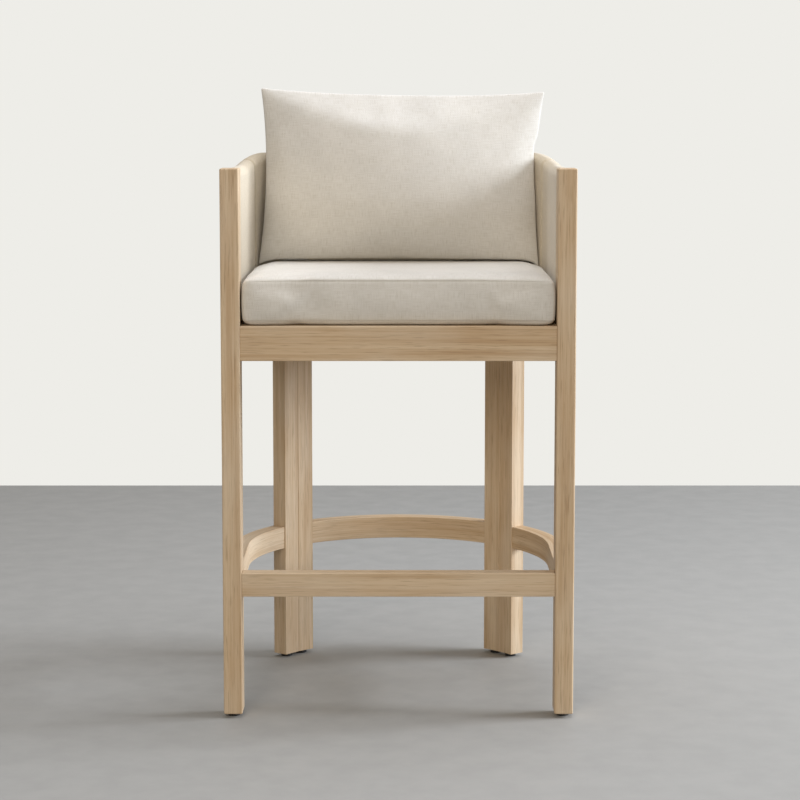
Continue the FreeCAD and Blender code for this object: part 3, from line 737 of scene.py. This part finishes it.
@dataclass
class JoineryAndHardware:
    """The parts inside and under the seat: blocks, deck, core, dowels, screws, glides and zips."""

    sides: tuple[str, ...] = ("right", "left")

    def pairs(self, *stems: str) -> tuple[str, ...]:
        """Name the right and left part of every stem."""
        return tuple(f"{stem}_{side}" for stem in stems for side in self.sides)

    def dress(self) -> None:
        """Give every part its finish."""
        birch = LayeredBirch("birch plywood, rotary-cut")
        block = LayeredBirch("birch block, planed", face="#E0C9A2", grain="#CFB083", glue="#C09A68")
        beech = SpeckledFinish(
            "beech dowel, fluted", "#D9B78B", "#C29A6C", 1.2, 0.6, 0.1, stretch=(1.0, 1.0, 0.2)
        )
        zinc = SpeckledFinish("steel, bright zinc plate", "#C9CCCE", "#A3A8AB", 1.5, 0.32, 0.02, 1.0)
        nylon = SpeckledFinish("nylon, moulded black", "#1C1B1A", "#131212", 0.9, 0.5, 0.05)
        dress_nodes(("seat_deck", "barrel_core"), birch.build())
        dress_nodes(self.pairs("corner_block_front", "corner_block_back"), block.build())
        dress_nodes(("seat_rail_dowels", "footrest_rail_dowels", "barrel_dowels"), beech.build())
        dress_nodes(("deck_screws", "corner_block_screws", "glide_nails"), zinc.build())
        dress_nodes(self.pairs("front_glide", "side_glide", "rear_glide"), nylon.build())
        dress_nodes(("seat_cushion_zip", "back_pillow_zip"), ZipTape("nylon coil zip on tape").build())
        foam = SpeckledFinish("polyurethane foam, cut", "#E6DDBE", "#D8CCA6", 1.6, 0.95, 0.5)
        fibre = SpeckledFinish("polyester fibre filling", "#EFEDE8", "#DAD7D0", 4.0, 0.95, 1.0)
        cover = SpeckledFinish("linen cover under the panels", "#D6CEBE", "#BFB5A2", 1.2, 0.9, 0.3)
        dress_nodes(("barrel_foam", "seat_cushion_foam"), foam.build())
        dress_nodes(("back_pillow_fill",), fibre.build())
        dress_nodes(
            (
                "barrel_cover_inside_right",
                "barrel_cover_inside_left",
                "barrel_cover_inside_back",
                "barrel_cover_outside",
                "seat_cushion_cover",
                "back_pillow_cover",
            ),
            cover.build(),
        )


# ---- barrel upholstery


@dataclass
class BarrelUpholstery:
    """The padded barrel wall: three inside panels that roll over the rim, and one outside."""

    plan: Horseshoe
    # The barrel's linen, whose darker tone is partly painted shade.
    linen: Material
    bottom: float = 0.0
    front_crown: float = 0.8470
    back_crown: float = 0.865
    rise_from: float = 0.186
    rise_to: float = 0.311
    roll: float = 0.0142
    seam_angle: float = 14.0
    leg_gap: float = 0.0009
    seam_tuck: float = 0.0023
    seam_width: float = 0.0032
    cloth: float = 0.0016
    pucker: float = 0.00028
    skin: float = 0.0003
    step: float = 0.0055
    seam_steps: tuple[float, ...] = (0.0, 0.0007, 0.0015, 0.0025, 0.0038, 0.0055, 0.0080, 0.0115)
    seam_margin: float = 0.0165
    wall_mesh: float = 0.0060

    def __post_init__(self) -> None:
        """Stand the barrel on the seat rails."""
        low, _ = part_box("barrel_cover_outside")
        self.bottom = low.z

    @property
    def roll_foot(self) -> float:
        """Height where the rim's roll starts, at the full crown."""
        return self.back_crown - self.roll

    def crown_at(self, run: float) -> float:
        """Height of the rim: flush with the front legs, then rising round the back.

        Args:
            run: The distance along the spine.

        Returns:
            The height in metres.
        """
        nearest = min(run, self.plan.whole_run - run)
        rise = ease(nearest, self.rise_from, self.rise_to)
        return self.front_crown + (self.back_crown - self.front_crown) * rise

    def stations(self, first: float, last: float) -> list[float]:
        """Places along the spine where the profile is set, closer together at the seams.

        Args:
            first: Where the panel starts.
            last: Where the panel ends.

        Returns:
            Rising distances along the spine, with the ends of the half circle among them.
        """
        places = {round(place, 6) for gap in self.seam_steps for place in (first + gap, last - gap)}
        count = max(int((last - first - 0.03) / self.step), 1)
        inner_first, inner_last = first + self.seam_margin, last - self.seam_margin
        for number in range(count + 1):
            places.add(round(inner_first + (inner_last - inner_first) * number / count, 6))
        for turn in (self.plan.straight, self.plan.whole_run - self.plan.straight):
            if first < turn < last:
                places = {place for place in places if abs(place - turn) > 0.0015}
                places.add(turn)
        return sorted(places)

    def inside_profile(self) -> list[tuple[float, float]]:
        """Radius and height of an inside panel from the outer seam over the rim to the deck.

        Returns:
            The profile's points.
        """
        middle = self.plan.outside - self.roll - self.skin
        points = []
        for number in range(17):
            turn = math.pi * number / 16
            width = self.plan.spine - self.plan.leg_inside if turn > math.pi / 2 else self.roll
            points.append((middle + width * math.cos(turn), self.roll_foot + self.roll * math.sin(turn)))
        count = int((self.roll_foot - self.bottom) / self.wall_mesh)
        for number in range(1, count + 1):
            height = self.roll_foot + (self.bottom + 0.0008 - self.roll_foot) * number / count
            points.append((points[16][0], height))
        return points

    def outside_profile(self) -> list[tuple[float, float]]:
        """Radius and height of the outside panel, from the rail up to the rim's seam.

        Returns:
            The profile's points.
        """
        radius = self.plan.outside - self.skin
        heights = [0.0, 0.0007, 0.0015, 0.0026, 0.0042, 0.0070]
        top = self.roll_foot - self.bottom
        count = int((top - 0.02) / self.wall_mesh)
        middle = [0.011 + (top - 0.022) * number / count for number in range(count + 1)]
        heights = heights + middle + [top - height for height in reversed(heights)]
        return [(radius, self.bottom + height) for height in heights]

    def sweep(self, profile: list[tuple[float, float]], first: float, last: float) -> Sheet:
        """Carry a profile along the horseshoe.

        Args:
            profile: Radius and height of each point.
            first: Where the panel starts along the spine.
            last: Where it ends.

        Returns:
            An open sheet that follows the plan.
        """
        plan, mesh = self.plan, bmesh.new()
        places = self.stations(first, last)
        start_turn = max(first - plan.straight, 0.0) / plan.spine
        turned = Matrix.Rotation(start_turn, 4, "Z")
        origin = Vector((0.0, plan.centre + min(first - plan.straight, 0.0), 0.0))
        line = [
            mesh.verts.new(origin + turned @ Vector((radius, 0.0, height))) for radius, height in profile
        ]
        edges = [mesh.edges.new(pair) for pair in zip(line, line[1:])]
        for here, there in zip(places, places[1:]):
            middle, shift, turn = (here + there) / 2, Vector((0, 0, 0)), 0.0
            if middle < plan.straight:
                shift = Vector((0.0, there - here, 0.0))
            elif middle > plan.whole_run - plan.straight:
                shift = Vector((0.0, here - there, 0.0))
            else:
                turn = (there - here) / plan.spine
            made = bmesh.ops.spin(
                mesh,
                geom=edges,
                cent=(0.0, plan.centre, 0.0),
                axis=(0.0, 0.0, 1.0),
                dvec=shift,
                angle=turn,
                steps=1,
                use_merge=False,
                use_duplicate=False,
            )
            edges = [item for item in made["geom_last"] if isinstance(item, bmesh.types.BMEdge)]
        bmesh.ops.recalc_face_normals(mesh, faces=mesh.faces)
        return mesh

    def lies_inside(self, place: Vector) -> bool:
        """True for a place on the side that faces the cushions."""
        return self.plan.distance_of(place) < self.plan.spine

    def face_out(self, mesh: Sheet) -> None:
        """Turn a sheet so that its faces look away from the wall's own middle.

        Args:
            mesh: The swept sheet.
        """
        score = 0.0
        for face in mesh.faces:
            middle = face.calc_center_median()
            outward = self.plan.outward_of(middle)
            score += face.normal.dot(-outward if self.lies_inside(middle) else outward)
        if score < 0:
            bmesh.ops.reverse_faces(mesh, faces=mesh.faces)

    def shape(self, mesh: Sheet, first: float, last: float, outside: bool) -> None:
        """Set the rim's height, tuck the seams in and let the padding show.

        Args:
            mesh: The swept sheet.
            first: Where the panel starts along the spine.
            last: Where it ends.
            outside: True for the outside panel, which has seams above and below too.
        """
        mesh.normal_update()
        seam = self.roll_foot
        moved = []
        for vert in mesh.verts:
            place = vert.co.copy()
            run = self.plan.run_of(place)
            lift = self.crown_at(run) - self.back_crown
            share = ease(place.z, self.bottom + 0.08, seam)
            gaps = [abs(run - first), abs(last - run)]
            if outside:
                gaps += [place.z - self.bottom, seam - place.z]
            elif not self.lies_inside(place):
                gaps += [max(place.z - seam, 0.0) + 0.2 * abs(place.z - seam)]
            gap = min(gaps)
            tuck = self.seam_tuck * math.exp(-((gap / self.seam_width) ** 2))
            ripple = math.sin(run * 2 * math.pi / 0.019 + place.z * 90) * math.exp(-gap / 0.010)
            swell = noise.noise(Vector((run * 9.0, place.z * 9.0, 3.7 if outside else 1.3))) + 0.4
            inset = tuck + self.pucker * (1 + ripple) - 0.0007 * swell * ease(gap, 0.006, 0.05)
            if not outside and self.lies_inside(place):
                inset = max(inset, 0.0)
            moved.append((vert, place + Vector((0, 0, lift * share)) - vert.normal * inset))
        for vert, place in moved:
            vert.co = place

    def unfold(self, place: Vector, normal: Vector) -> tuple[float, float]:
        """Lay the wall flat: along the spine, and up, over the rim and down.

        Args:
            place: A corner's place.
            normal: Its face's normal; not used.

        Returns:
            U and V in metres.
        """
        run = self.plan.run_of(place)
        lift = self.crown_at(run) - self.back_crown
        above = place.z - lift - self.roll_foot
        inward = self.plan.spine - self.plan.distance_of(place)
        if above > 0:
            return run, self.roll * math.atan2(above, inward)
        return run, above if inward > 0 else math.pi * self.roll - above

    def panel(self, name: str, node: str, first: float, last: float, outside: bool = False) -> None:
        """Build one panel in place of its plain cover.

        Args:
            name: The piece's name.
            node: The cover that it stands for.
            first: Where the panel starts along the spine.
            last: Where it ends.
            outside: True for the outside panel.
        """
        mesh = self.sweep(self.outside_profile() if outside else self.inside_profile(), first, last)
        self.face_out(mesh)
        self.shape(mesh, first, last, outside)
        piece = new_piece(name, mesh, self.linen)
        lay_out(piece, self.unfold)
        wall = piece.modifiers.new("cloth thickness", "SOLIDIFY")
        wall.thickness = self.cloth
        wall.offset = -1.0
        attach(piece, "frame")
        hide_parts(node, *(("barrel_foam",) if outside else ()))
        log.info("%s: %d faces", name, len(piece.data.polygons))

    def build(self) -> None:
        """Build the four panels."""
        whole = self.plan.whole_run
        seam = self.plan.straight + self.plan.spine * math.radians(self.seam_angle)
        near, far = self.leg_gap, whole - self.leg_gap
        self.panel("barrel_panel_inside_right", "barrel_cover_inside_right", near, seam)
        self.panel("barrel_panel_inside_back", "barrel_cover_inside_back", seam, whole - seam)
        self.panel("barrel_panel_inside_left", "barrel_cover_inside_left", whole - seam, far)
        self.panel("barrel_panel_outside", "barrel_cover_outside", near, far, outside=True)


# ---- seat cushion


@dataclass
class SeatCushion:
    """The loose boxed cushion: D-shaped, foam-filled, crowned on top and flat on the deck.

    Simulation swells its block, which then fills the seat out to its reach and its front.
    """

    plan: Horseshoe
    linen: Material
    reach: float = 0.2400
    front: float = -0.2472
    bottom: float = 0.6096
    crown: float = 0.6880
    top_seam: float = 0.6765
    bottom_seam: float = 0.6150
    start_inset: float = 0.0035
    corner: float = 0.011
    edge: float = 0.008
    voxel: float = 0.0050
    cap: float = 0.0120
    seam_depth: float = 0.0010
    seam_width: float = 0.0016
    seam_cuts: tuple[float, ...] = (-0.0036, -0.0017, 0.0, 0.0017, 0.0036)
    relax: int = 6
    stuffing: Inflation = field(default_factory=lambda: Inflation(4.0, 20, 15.0, 0.5, 1.0))

    def block(self) -> Sheet:
        """Make the D-shaped block that is to be stuffed.

        Returns:
            The block.
        """
        mesh, centre = bmesh.new(), self.plan.centre
        radius = self.reach - self.start_inset
        low, high = self.bottom + 0.001, self.top_seam + 0.001
        bmesh.ops.create_circle(mesh, cap_ends=True, segments=96, radius=radius)
        bmesh.ops.translate(mesh, vec=(0, centre, low), verts=mesh.verts)
        everything = mesh.verts[:] + mesh.edges[:] + mesh.faces[:]
        bmesh.ops.bisect_plane(
            mesh, geom=everything, plane_co=(0, centre, 0), plane_no=(0, 1, 0), clear_inner=True
        )
        straight = [edge for edge in mesh.edges if all(abs(v.co.y - centre) < 1e-6 for v in edge.verts)]
        made = bmesh.ops.extrude_edge_only(mesh, edges=straight)
        front = [item for item in made["geom"] if isinstance(item, bmesh.types.BMVert)]
        depth = self.front + self.start_inset - centre
        bmesh.ops.translate(mesh, vec=(0, depth, 0), verts=front)
        made = bmesh.ops.extrude_face_region(mesh, geom=mesh.faces[:])
        upper = [item for item in made["geom"] if isinstance(item, bmesh.types.BMVert)]
        bmesh.ops.translate(mesh, vec=(0, 0, high - low), verts=upper)
        weld_and_face_out(mesh)
        corners = [
            edge
            for edge in mesh.edges
            if abs(edge.verts[0].co.z - edge.verts[1].co.z) > 0.01
            and edge.verts[0].co.y < self.front + 0.02
        ]
        self.bevel(mesh, corners, self.corner, 6)
        rims = [
            edge
            for edge in mesh.edges
            if edge.calc_face_angle(0.0) > 1.0 and abs(edge.verts[0].co.z - edge.verts[1].co.z) < 1e-5
        ]
        self.bevel(mesh, rims, self.edge, 4)
        return mesh

    def bevel(self, mesh: Sheet, edges: list[bmesh.types.BMEdge], size: float, segments: int) -> None:
        """Round some edges of the block.

        Args:
            mesh: The block.
            edges: The edges to round.
            size: How far the rounding reaches.
            segments: Faces across the rounding.
        """
        bmesh.ops.bevel(
            mesh,
            geom=edges,
            offset=size,
            offset_type="OFFSET",
            affect="EDGES",
            segments=segments,
            profile=0.5,
            material=-1,
        )

    def remesh(self, piece: Piece) -> None:
        """Give the block an even mesh that can swell.

        Args:
            piece: The block.
        """
        modifier = piece.modifiers.new("even mesh", "REMESH")
        modifier.mode = "VOXEL"
        modifier.voxel_size = self.voxel
        graph = bpy.context.evaluated_depsgraph_get()
        even = bpy.data.meshes.new_from_object(piece.evaluated_get(graph))
        piece.modifiers.remove(modifier)
        piece.data = even

    def fill_the_seat(self, points: list[Vector]) -> list[Vector]:
        """Ease the stuffed case out until it meets the legs and the barrel.

        Args:
            points: The stuffed case's points.

        Returns:
            The points of the eased case.
        """
        right = max(point.x for point in points)
        left = -min(point.x for point in points)
        back = max(point.y for point in points) - self.plan.centre
        fore = self.plan.centre - min(point.y for point in points)
        room = self.plan.centre - self.front
        eased = []
        for point in points:
            behind = point.y - self.plan.centre
            depth = behind * (self.reach / back if behind > 0 else room / fore)
            across = point.x * self.reach / (right if point.x > 0 else left)
            eased.append(Vector((across, self.plan.centre + depth, point.z)))
        return eased

    def settle(self, before: Vector, after: Vector) -> Vector:
        """Keep the swollen case on the deck, in the barrel and behind the front of the legs.

        Args:
            before: A point of the even block.
            after: The same point, stuffed.

        Returns:
            Where the point comes to rest.
        """
        growth = after - before
        if growth.length > 1e-9:
            growth = growth.normalized() * soft_limit(growth.length, self.cap)
        place = before + growth
        middle = max(1 - abs(place.x / self.reach) ** 6, 0.0)
        deep = ease(place.y, self.front, self.front + 0.10)
        rise = ease(before.z, self.bottom_seam, self.top_seam + 0.001)
        upper = self.top_seam + (self.crown - self.top_seam) * middle**0.5 * (0.5 + 0.5 * deep)
        if before.z > self.top_seam - 0.004:
            swell = (place.z - self.top_seam) * 0.5 + (upper - self.top_seam) * 0.9 * rise
            place.z = min(self.top_seam + swell, self.crown)
        place.z = max(place.z, self.bottom)
        bulge = 0.0022 * math.sin(math.pi * ease(place.z, self.bottom_seam, self.top_seam))
        place.y = max(place.y, self.front + 0.0024 - bulge)
        inner = self.plan.distance_of(before) - (self.reach - self.start_inset - self.corner)
        if inner > 0:
            tall = math.sin(math.pi * ease(place.z, self.bottom_seam - 0.004, self.top_seam + 0.004))
            short = self.reach - 0.0004 - self.plan.distance_of(place)
            share = min(inner / self.corner, 1.0) * (0.55 + 0.4 * tall)
            place += self.plan.outward_of(place) * short * share
        return self.plan.pull_in(place, self.reach - 0.0003)

    def sew(self, piece: Piece) -> None:
        """Cut the two boxing seams into the case and draw them in.

        Args:
            piece: The stuffed case.
        """
        mesh = bmesh.new()
        mesh.from_mesh(piece.data)
        for seam in (self.top_seam, self.bottom_seam):
            for shift in self.seam_cuts:
                everything = mesh.verts[:] + mesh.edges[:] + mesh.faces[:]
                bmesh.ops.bisect_plane(
                    mesh, geom=everything, dist=0.0002, plane_co=(0, 0, seam + shift), plane_no=(0, 0, 1)
                )
        mesh.normal_update()
        moved = []
        for vert in mesh.verts:
            gap = min(abs(vert.co.z - self.top_seam), abs(vert.co.z - self.bottom_seam))
            side = math.hypot(vert.normal.x, vert.normal.y)
            depth = self.seam_depth * math.exp(-((gap / self.seam_width) ** 2)) * min(side * 1.6, 1.0)
            moved.append((vert, vert.co - vert.normal * depth))
        for vert, place in moved:
            vert.co = place
        mesh.to_mesh(piece.data)
        mesh.free()

    def unfold(self, place: Vector, normal: Vector) -> tuple[float, float]:
        """Lay the top and bottom panels and the boxing flat.

        Args:
            place: A corner's place.
            normal: Its face's normal.

        Returns:
            U and V in metres.
        """
        if abs(normal.z) > 0.72:
            return place.x, place.y
        if normal.y < -0.55:
            return place.x, place.z + 1.0
        return self.plan.run_of(place), place.z + 2.0

    def build(self) -> Piece:
        """Build, stuff and sew the cushion.

        Returns:
            The finished cushion.
        """
        piece = new_piece("seat_cushion_case", self.block(), self.linen)
        self.remesh(piece)
        before = [vert.co.copy() for vert in piece.data.vertices]
        self.stuffing.run(piece)
        ease_creases(piece, self.relax)
        after = self.fill_the_seat([vert.co.copy() for vert in piece.data.vertices])
        for vert, start, place in zip(piece.data.vertices, before, after):
            vert.co = self.settle(start, place)
        self.sew(piece)
        piece.data.shade_smooth()
        lay_out(piece, self.unfold)
        add_subdivision(piece)
        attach(piece, "seat_cushion")
        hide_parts("seat_cushion_cover", "seat_cushion_foam")
        log.info("%s: %d faces before smoothing", piece.name, len(piece.data.polygons))
        return piece


# ---- back pillow


@dataclass
class BackPillow:
    """The loose knife-edge pillow that stands on the cushion and leans in the barrel.

    Simulation gives it its swell. Its outline from the front follows the waists, corners and
    dips, and its belly and back say how far it swells each way from the seam.
    """

    plan: Horseshoe
    linen: Material
    support: BVHTree
    cut_width: float = 0.486
    cut_height: float = 0.306
    columns: int = 84
    rows: int = 54
    case_gap: float = 0.006
    waist_left: float = 0.2185
    waist_right: float = 0.2262
    corner_out_left: float = 0.0105
    corner_out_top_right: float = 0.0126
    corner_out_low_right: float = 0.0076
    top_dip: float = 0.0090
    bottom_dip: float = 0.0085
    height: float = 0.2915
    lowest: float = 0.6800
    seam_depth: float = 0.0445
    belly: float = 0.0465
    back: float = 0.0900
    lean: float = 8.0
    roll: float = 0.80
    reach: float = 0.2392
    clearance: float = 0.0011
    droop: float = 0.021
    relax: int = 10
    stuffing: Inflation = field(default_factory=lambda: Inflation(3.0, 34, 30.0, 1.0))

    def case(self) -> Sheet:
        """Sew two flat panels together along a knife edge.

        Returns:
            The empty case, lying flat.
        """
        mesh = bmesh.new()
        bmesh.ops.create_grid(mesh, x_segments=self.columns, y_segments=self.rows, size=0.5)
        bmesh.ops.scale(mesh, vec=(self.cut_width, self.cut_height, 1), verts=mesh.verts)
        everything = mesh.verts[:] + mesh.edges[:] + mesh.faces[:]
        bmesh.ops.solidify(mesh, geom=everything, thickness=self.case_gap)
        bmesh.ops.recalc_face_normals(mesh, faces=mesh.faces)
        return mesh

    def outline(self, across: float, up: float) -> tuple[float, float]:
        """Place a point of the cut panels between the pillow's drawn-in edges.

        Args:
            across: From minus one at the left edge to one at the right.
            up: From minus one at the lower edge to one at the upper.

        Returns:
            The point's place across and up the finished pillow.
        """
        left = -self.waist_left - self.corner_out_left * abs(up) ** 2.2
        corner = self.corner_out_top_right if up > 0 else self.corner_out_low_right
        right = self.waist_right + corner * abs(up) ** 2.0
        dip = self.top_dip if up > 0 else self.bottom_dip
        half = self.height / 2 - dip * (1 - abs(across) ** 2.4)
        return left + (right - left) * (across + 1) / 2, up * half

    def stand(self, cut: Vector, thickness: float) -> Vector:
        """Bring a point of the stuffed case to its place in the barrel.

        Args:
            cut: Where the point lies on the cut panels, from minus one to one.
            thickness: Its share of the pillow's front or back swell.

        Returns:
            The point's place in the stool.
        """
        across, up = self.outline(cut.x, cut.y)
        low = ease(-cut.y, -0.15, 0.9)
        depth = self.belly if thickness > 0 else self.back
        fuller = 1 + 0.10 * low - 0.10 * ease(cut.y, 0.2, 1.0)
        swell = abs(thickness) ** (1 - 0.06 * low) * depth * fuller
        place = Vector((across, -math.copysign(swell, thickness), up))
        if thickness > 0:
            overhang = ease(-cut.y, -1.0, 0.2) - ease(-cut.y, 0.25, 1.0)
            place.y -= self.droop * overhang * (1 - abs(cut.x) ** 3)
        place = Matrix.Rotation(math.radians(-self.lean), 4, "X") @ place
        place = Matrix.Rotation(math.radians(self.roll), 4, "Y") @ place
        half = self.height / 2
        sine, cosine = 0.14, 0.99  # of the lean, so that the lower seam stays where it was
        place += Vector((0.0, self.seam_depth + sine * half, self.lowest + cosine * half))
        if place.z < 0.90:
            held = self.plan.pull_in(place, self.reach)
            place = place.lerp(held, 1 - ease(place.z, 0.865, 0.90))
        place.z = self.rest_on(self.seat_under(place), place.z)
        return place

    def seat_under(self, place: Vector) -> float:
        """Height of the seat cushion's top below a place."""
        hit, _, _, _ = self.support.ray_cast(Vector((place.x, place.y, 1.2)), Vector((0.0, 0.0, -1.0)))
        return hit.z if hit is not None else self.lowest - 0.004

    def rest_on(self, seat: float, height: float) -> float:
        """Flatten the lowest part where it rests on the cushion.

        Args:
            seat: Height of the cushion below the point.
            height: The point's height.

        Returns:
            The height that the point keeps.
        """
        floor = seat + self.clearance
        above = height - floor
        return floor + (above if above > 0.004 else 0.004 * math.exp((above - 0.004) / 0.012))

    def unfold(self, place: Vector, normal: Vector) -> tuple[float, float]:
        """Lay the flat panels out as they were cut."""
        return place.x, place.y + (0.5 if normal.z < 0 else 0.0)

    def build(self) -> None:
        """Build, stuff and place the pillow."""
        piece = new_piece("back_pillow_case", self.case(), self.linen)
        lay_out(piece, self.unfold)
        half_cut = Vector((self.cut_width / 2, self.cut_height / 2, 1.0))
        cut = [Vector((v.co.x / half_cut.x, v.co.y / half_cut.y, v.co.z)) for v in piece.data.vertices]
        self.stuffing.run(piece)
        ease_creases(piece, self.relax)
        heights = [vert.co.z for vert in piece.data.vertices]
        middle = (max(heights) + min(heights)) / 2
        half = (max(heights) - min(heights)) / 2
        for vert, place in zip(piece.data.vertices, cut):
            vert.co = self.stand(place, (vert.co.z - middle) / half)
        piece.data.shade_smooth()
        add_subdivision(piece)
        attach(piece, "back_pillow")
        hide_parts("back_pillow_cover", "back_pillow_fill")
        log.info("%s: %d faces before smoothing", piece.name, len(piece.data.polygons))


# ---- studio


@dataclass
class Studio:
    """A pale floor, soft light and a level-headed camera at seat height."""

    distance: float = 3.5865
    eye: float = 0.9362
    lens: float = 99.45
    shift_x: float = 0.0019
    shift_y: float = -0.055
    pitch: float = 6.365
    floor_back: float = 1.88
    floor_reach: float = 9.0
    air: str = "#EEEDE8"
    air_light: float = 0.28

    def floor(self) -> None:
        """Lay the floor."""
        mesh = bmesh.new()
        bmesh.ops.create_grid(mesh, x_segments=2, y_segments=2, size=self.floor_reach)
        bmesh.ops.translate(mesh, vec=(0, self.floor_back - self.floor_reach, 0), verts=mesh.verts)
        finish = SpeckledFinish("sealed plaster floor", "#9E9D99", "#999894", 60.0, 0.6, 0.02)
        piece = new_piece("studio_floor", mesh, finish.build())

    def air_and_sky(self) -> None:
        """Fill the room with even pale light."""
        world = bpy.data.worlds.new("studio air")
        world.use_nodes = True
        tree = world.node_tree
        tree.nodes.clear()
        seen = add_node(tree, "Background", {"Color": linear(self.air), "Strength": 1.0})
        cast = add_node(tree, "Background", {"Color": linear("#F8F0E4"), "Strength": self.air_light})
        ray = add_node(tree, "LightPath")
        either = add_node(tree, "MixShader", {0: ray.outputs["Is Camera Ray"], 1: cast, 2: seen})
        add_node(tree, "OutputWorld", {"Surface": either})
        bpy.context.scene.world = world

    def lamp(self, name: str, place: Vector, aim: Vector, size: float, power: float, colour: str) -> None:
        """Hang one soft box.

        Args:
            name: The lamp's name.
            place: Where it hangs.
            aim: What it points at.
            size: The box's side.
            power: Its power in watts.
            colour: Its colour.
        """
        light = bpy.data.lights.new(name, "AREA")
        light.shape = "SQUARE"
        light.size = size
        light.energy = power
        light.color = linear(colour)[:3]
        lamp = bpy.data.objects.new(name, light)
        lamp.location = place
        lamp.rotation_euler = (aim - place).to_track_quat("-Z", "Y").to_euler()
        bpy.context.scene.collection.objects.link(lamp)

    def lamps(self) -> None:
        """Hang the soft boxes: a cool one on the right, one above and a warm one in front on the left."""
        seat = Vector((0.0, 0.0, 0.5))
        self.lamp("right_soft_box", Vector((5.8, 0.3, 2.4)), seat, 2.7, 575.0, "#EDF4FF")
        self.lamp("top_soft_box", Vector((0.4, 0.15, 3.4)), seat, 3.0, 84.0, "#F3F6FF")
        self.lamp("front_soft_box", Vector((-1.4, -6.4, 3.0)), seat, 2.6, 160.0, "#FFF3E4")

    def camera(self) -> None:
        """Stand the camera in front of the stool."""
        data = bpy.data.cameras.new("camera")
        data.lens = self.lens
        data.sensor_width = 36.0
        data.shift_x = self.shift_x
        data.shift_y = self.shift_y
        data.clip_end = 60.0
        camera = bpy.data.objects.new("camera", data)
        camera.location = (0.0, -self.distance, self.eye)
        camera.rotation_euler = (math.radians(90 - self.pitch), 0.0, 0.0)
        bpy.context.scene.collection.objects.link(camera)
        bpy.context.scene.camera = camera

    def build(self) -> None:
        """Set up the whole studio."""
        bpy.context.scene.view_settings.view_transform = "Standard"
        self.floor()
        self.air_and_sky()
        self.lamps()
        self.camera()
        log.info("studio ready")


def main() -> None:
    """Build the stool around its frame, piece by piece."""
    plan = Horseshoe.from_frame()
    linen = LinenWeave("linen blend, plain weave, oatmeal").build()
    # The barrel's linen is a warmer tone than the cushions', and darker still as painted shade for the
    # barrel's shaded inside.
    warm_linen_with_painted_shade = LinenWeave(
        "linen blend, plain weave, flax_with_painted_shade", thread="#C6BAA4", dark_slub_and_painted_weave_shade="#B4A791", fleck="#A0937C"
    ).build()
    OakFrame(plan).dress()
    JoineryAndHardware().dress()
    BarrelUpholstery(plan, warm_linen_with_painted_shade).build()
    cushion = SeatCushion(plan, linen).build()
    support = BVHTree.FromObject(cushion, bpy.context.evaluated_depsgraph_get())
    BackPillow(plan, linen, support).build()
    Studio().build()


if __name__ == "__main__":
    main()
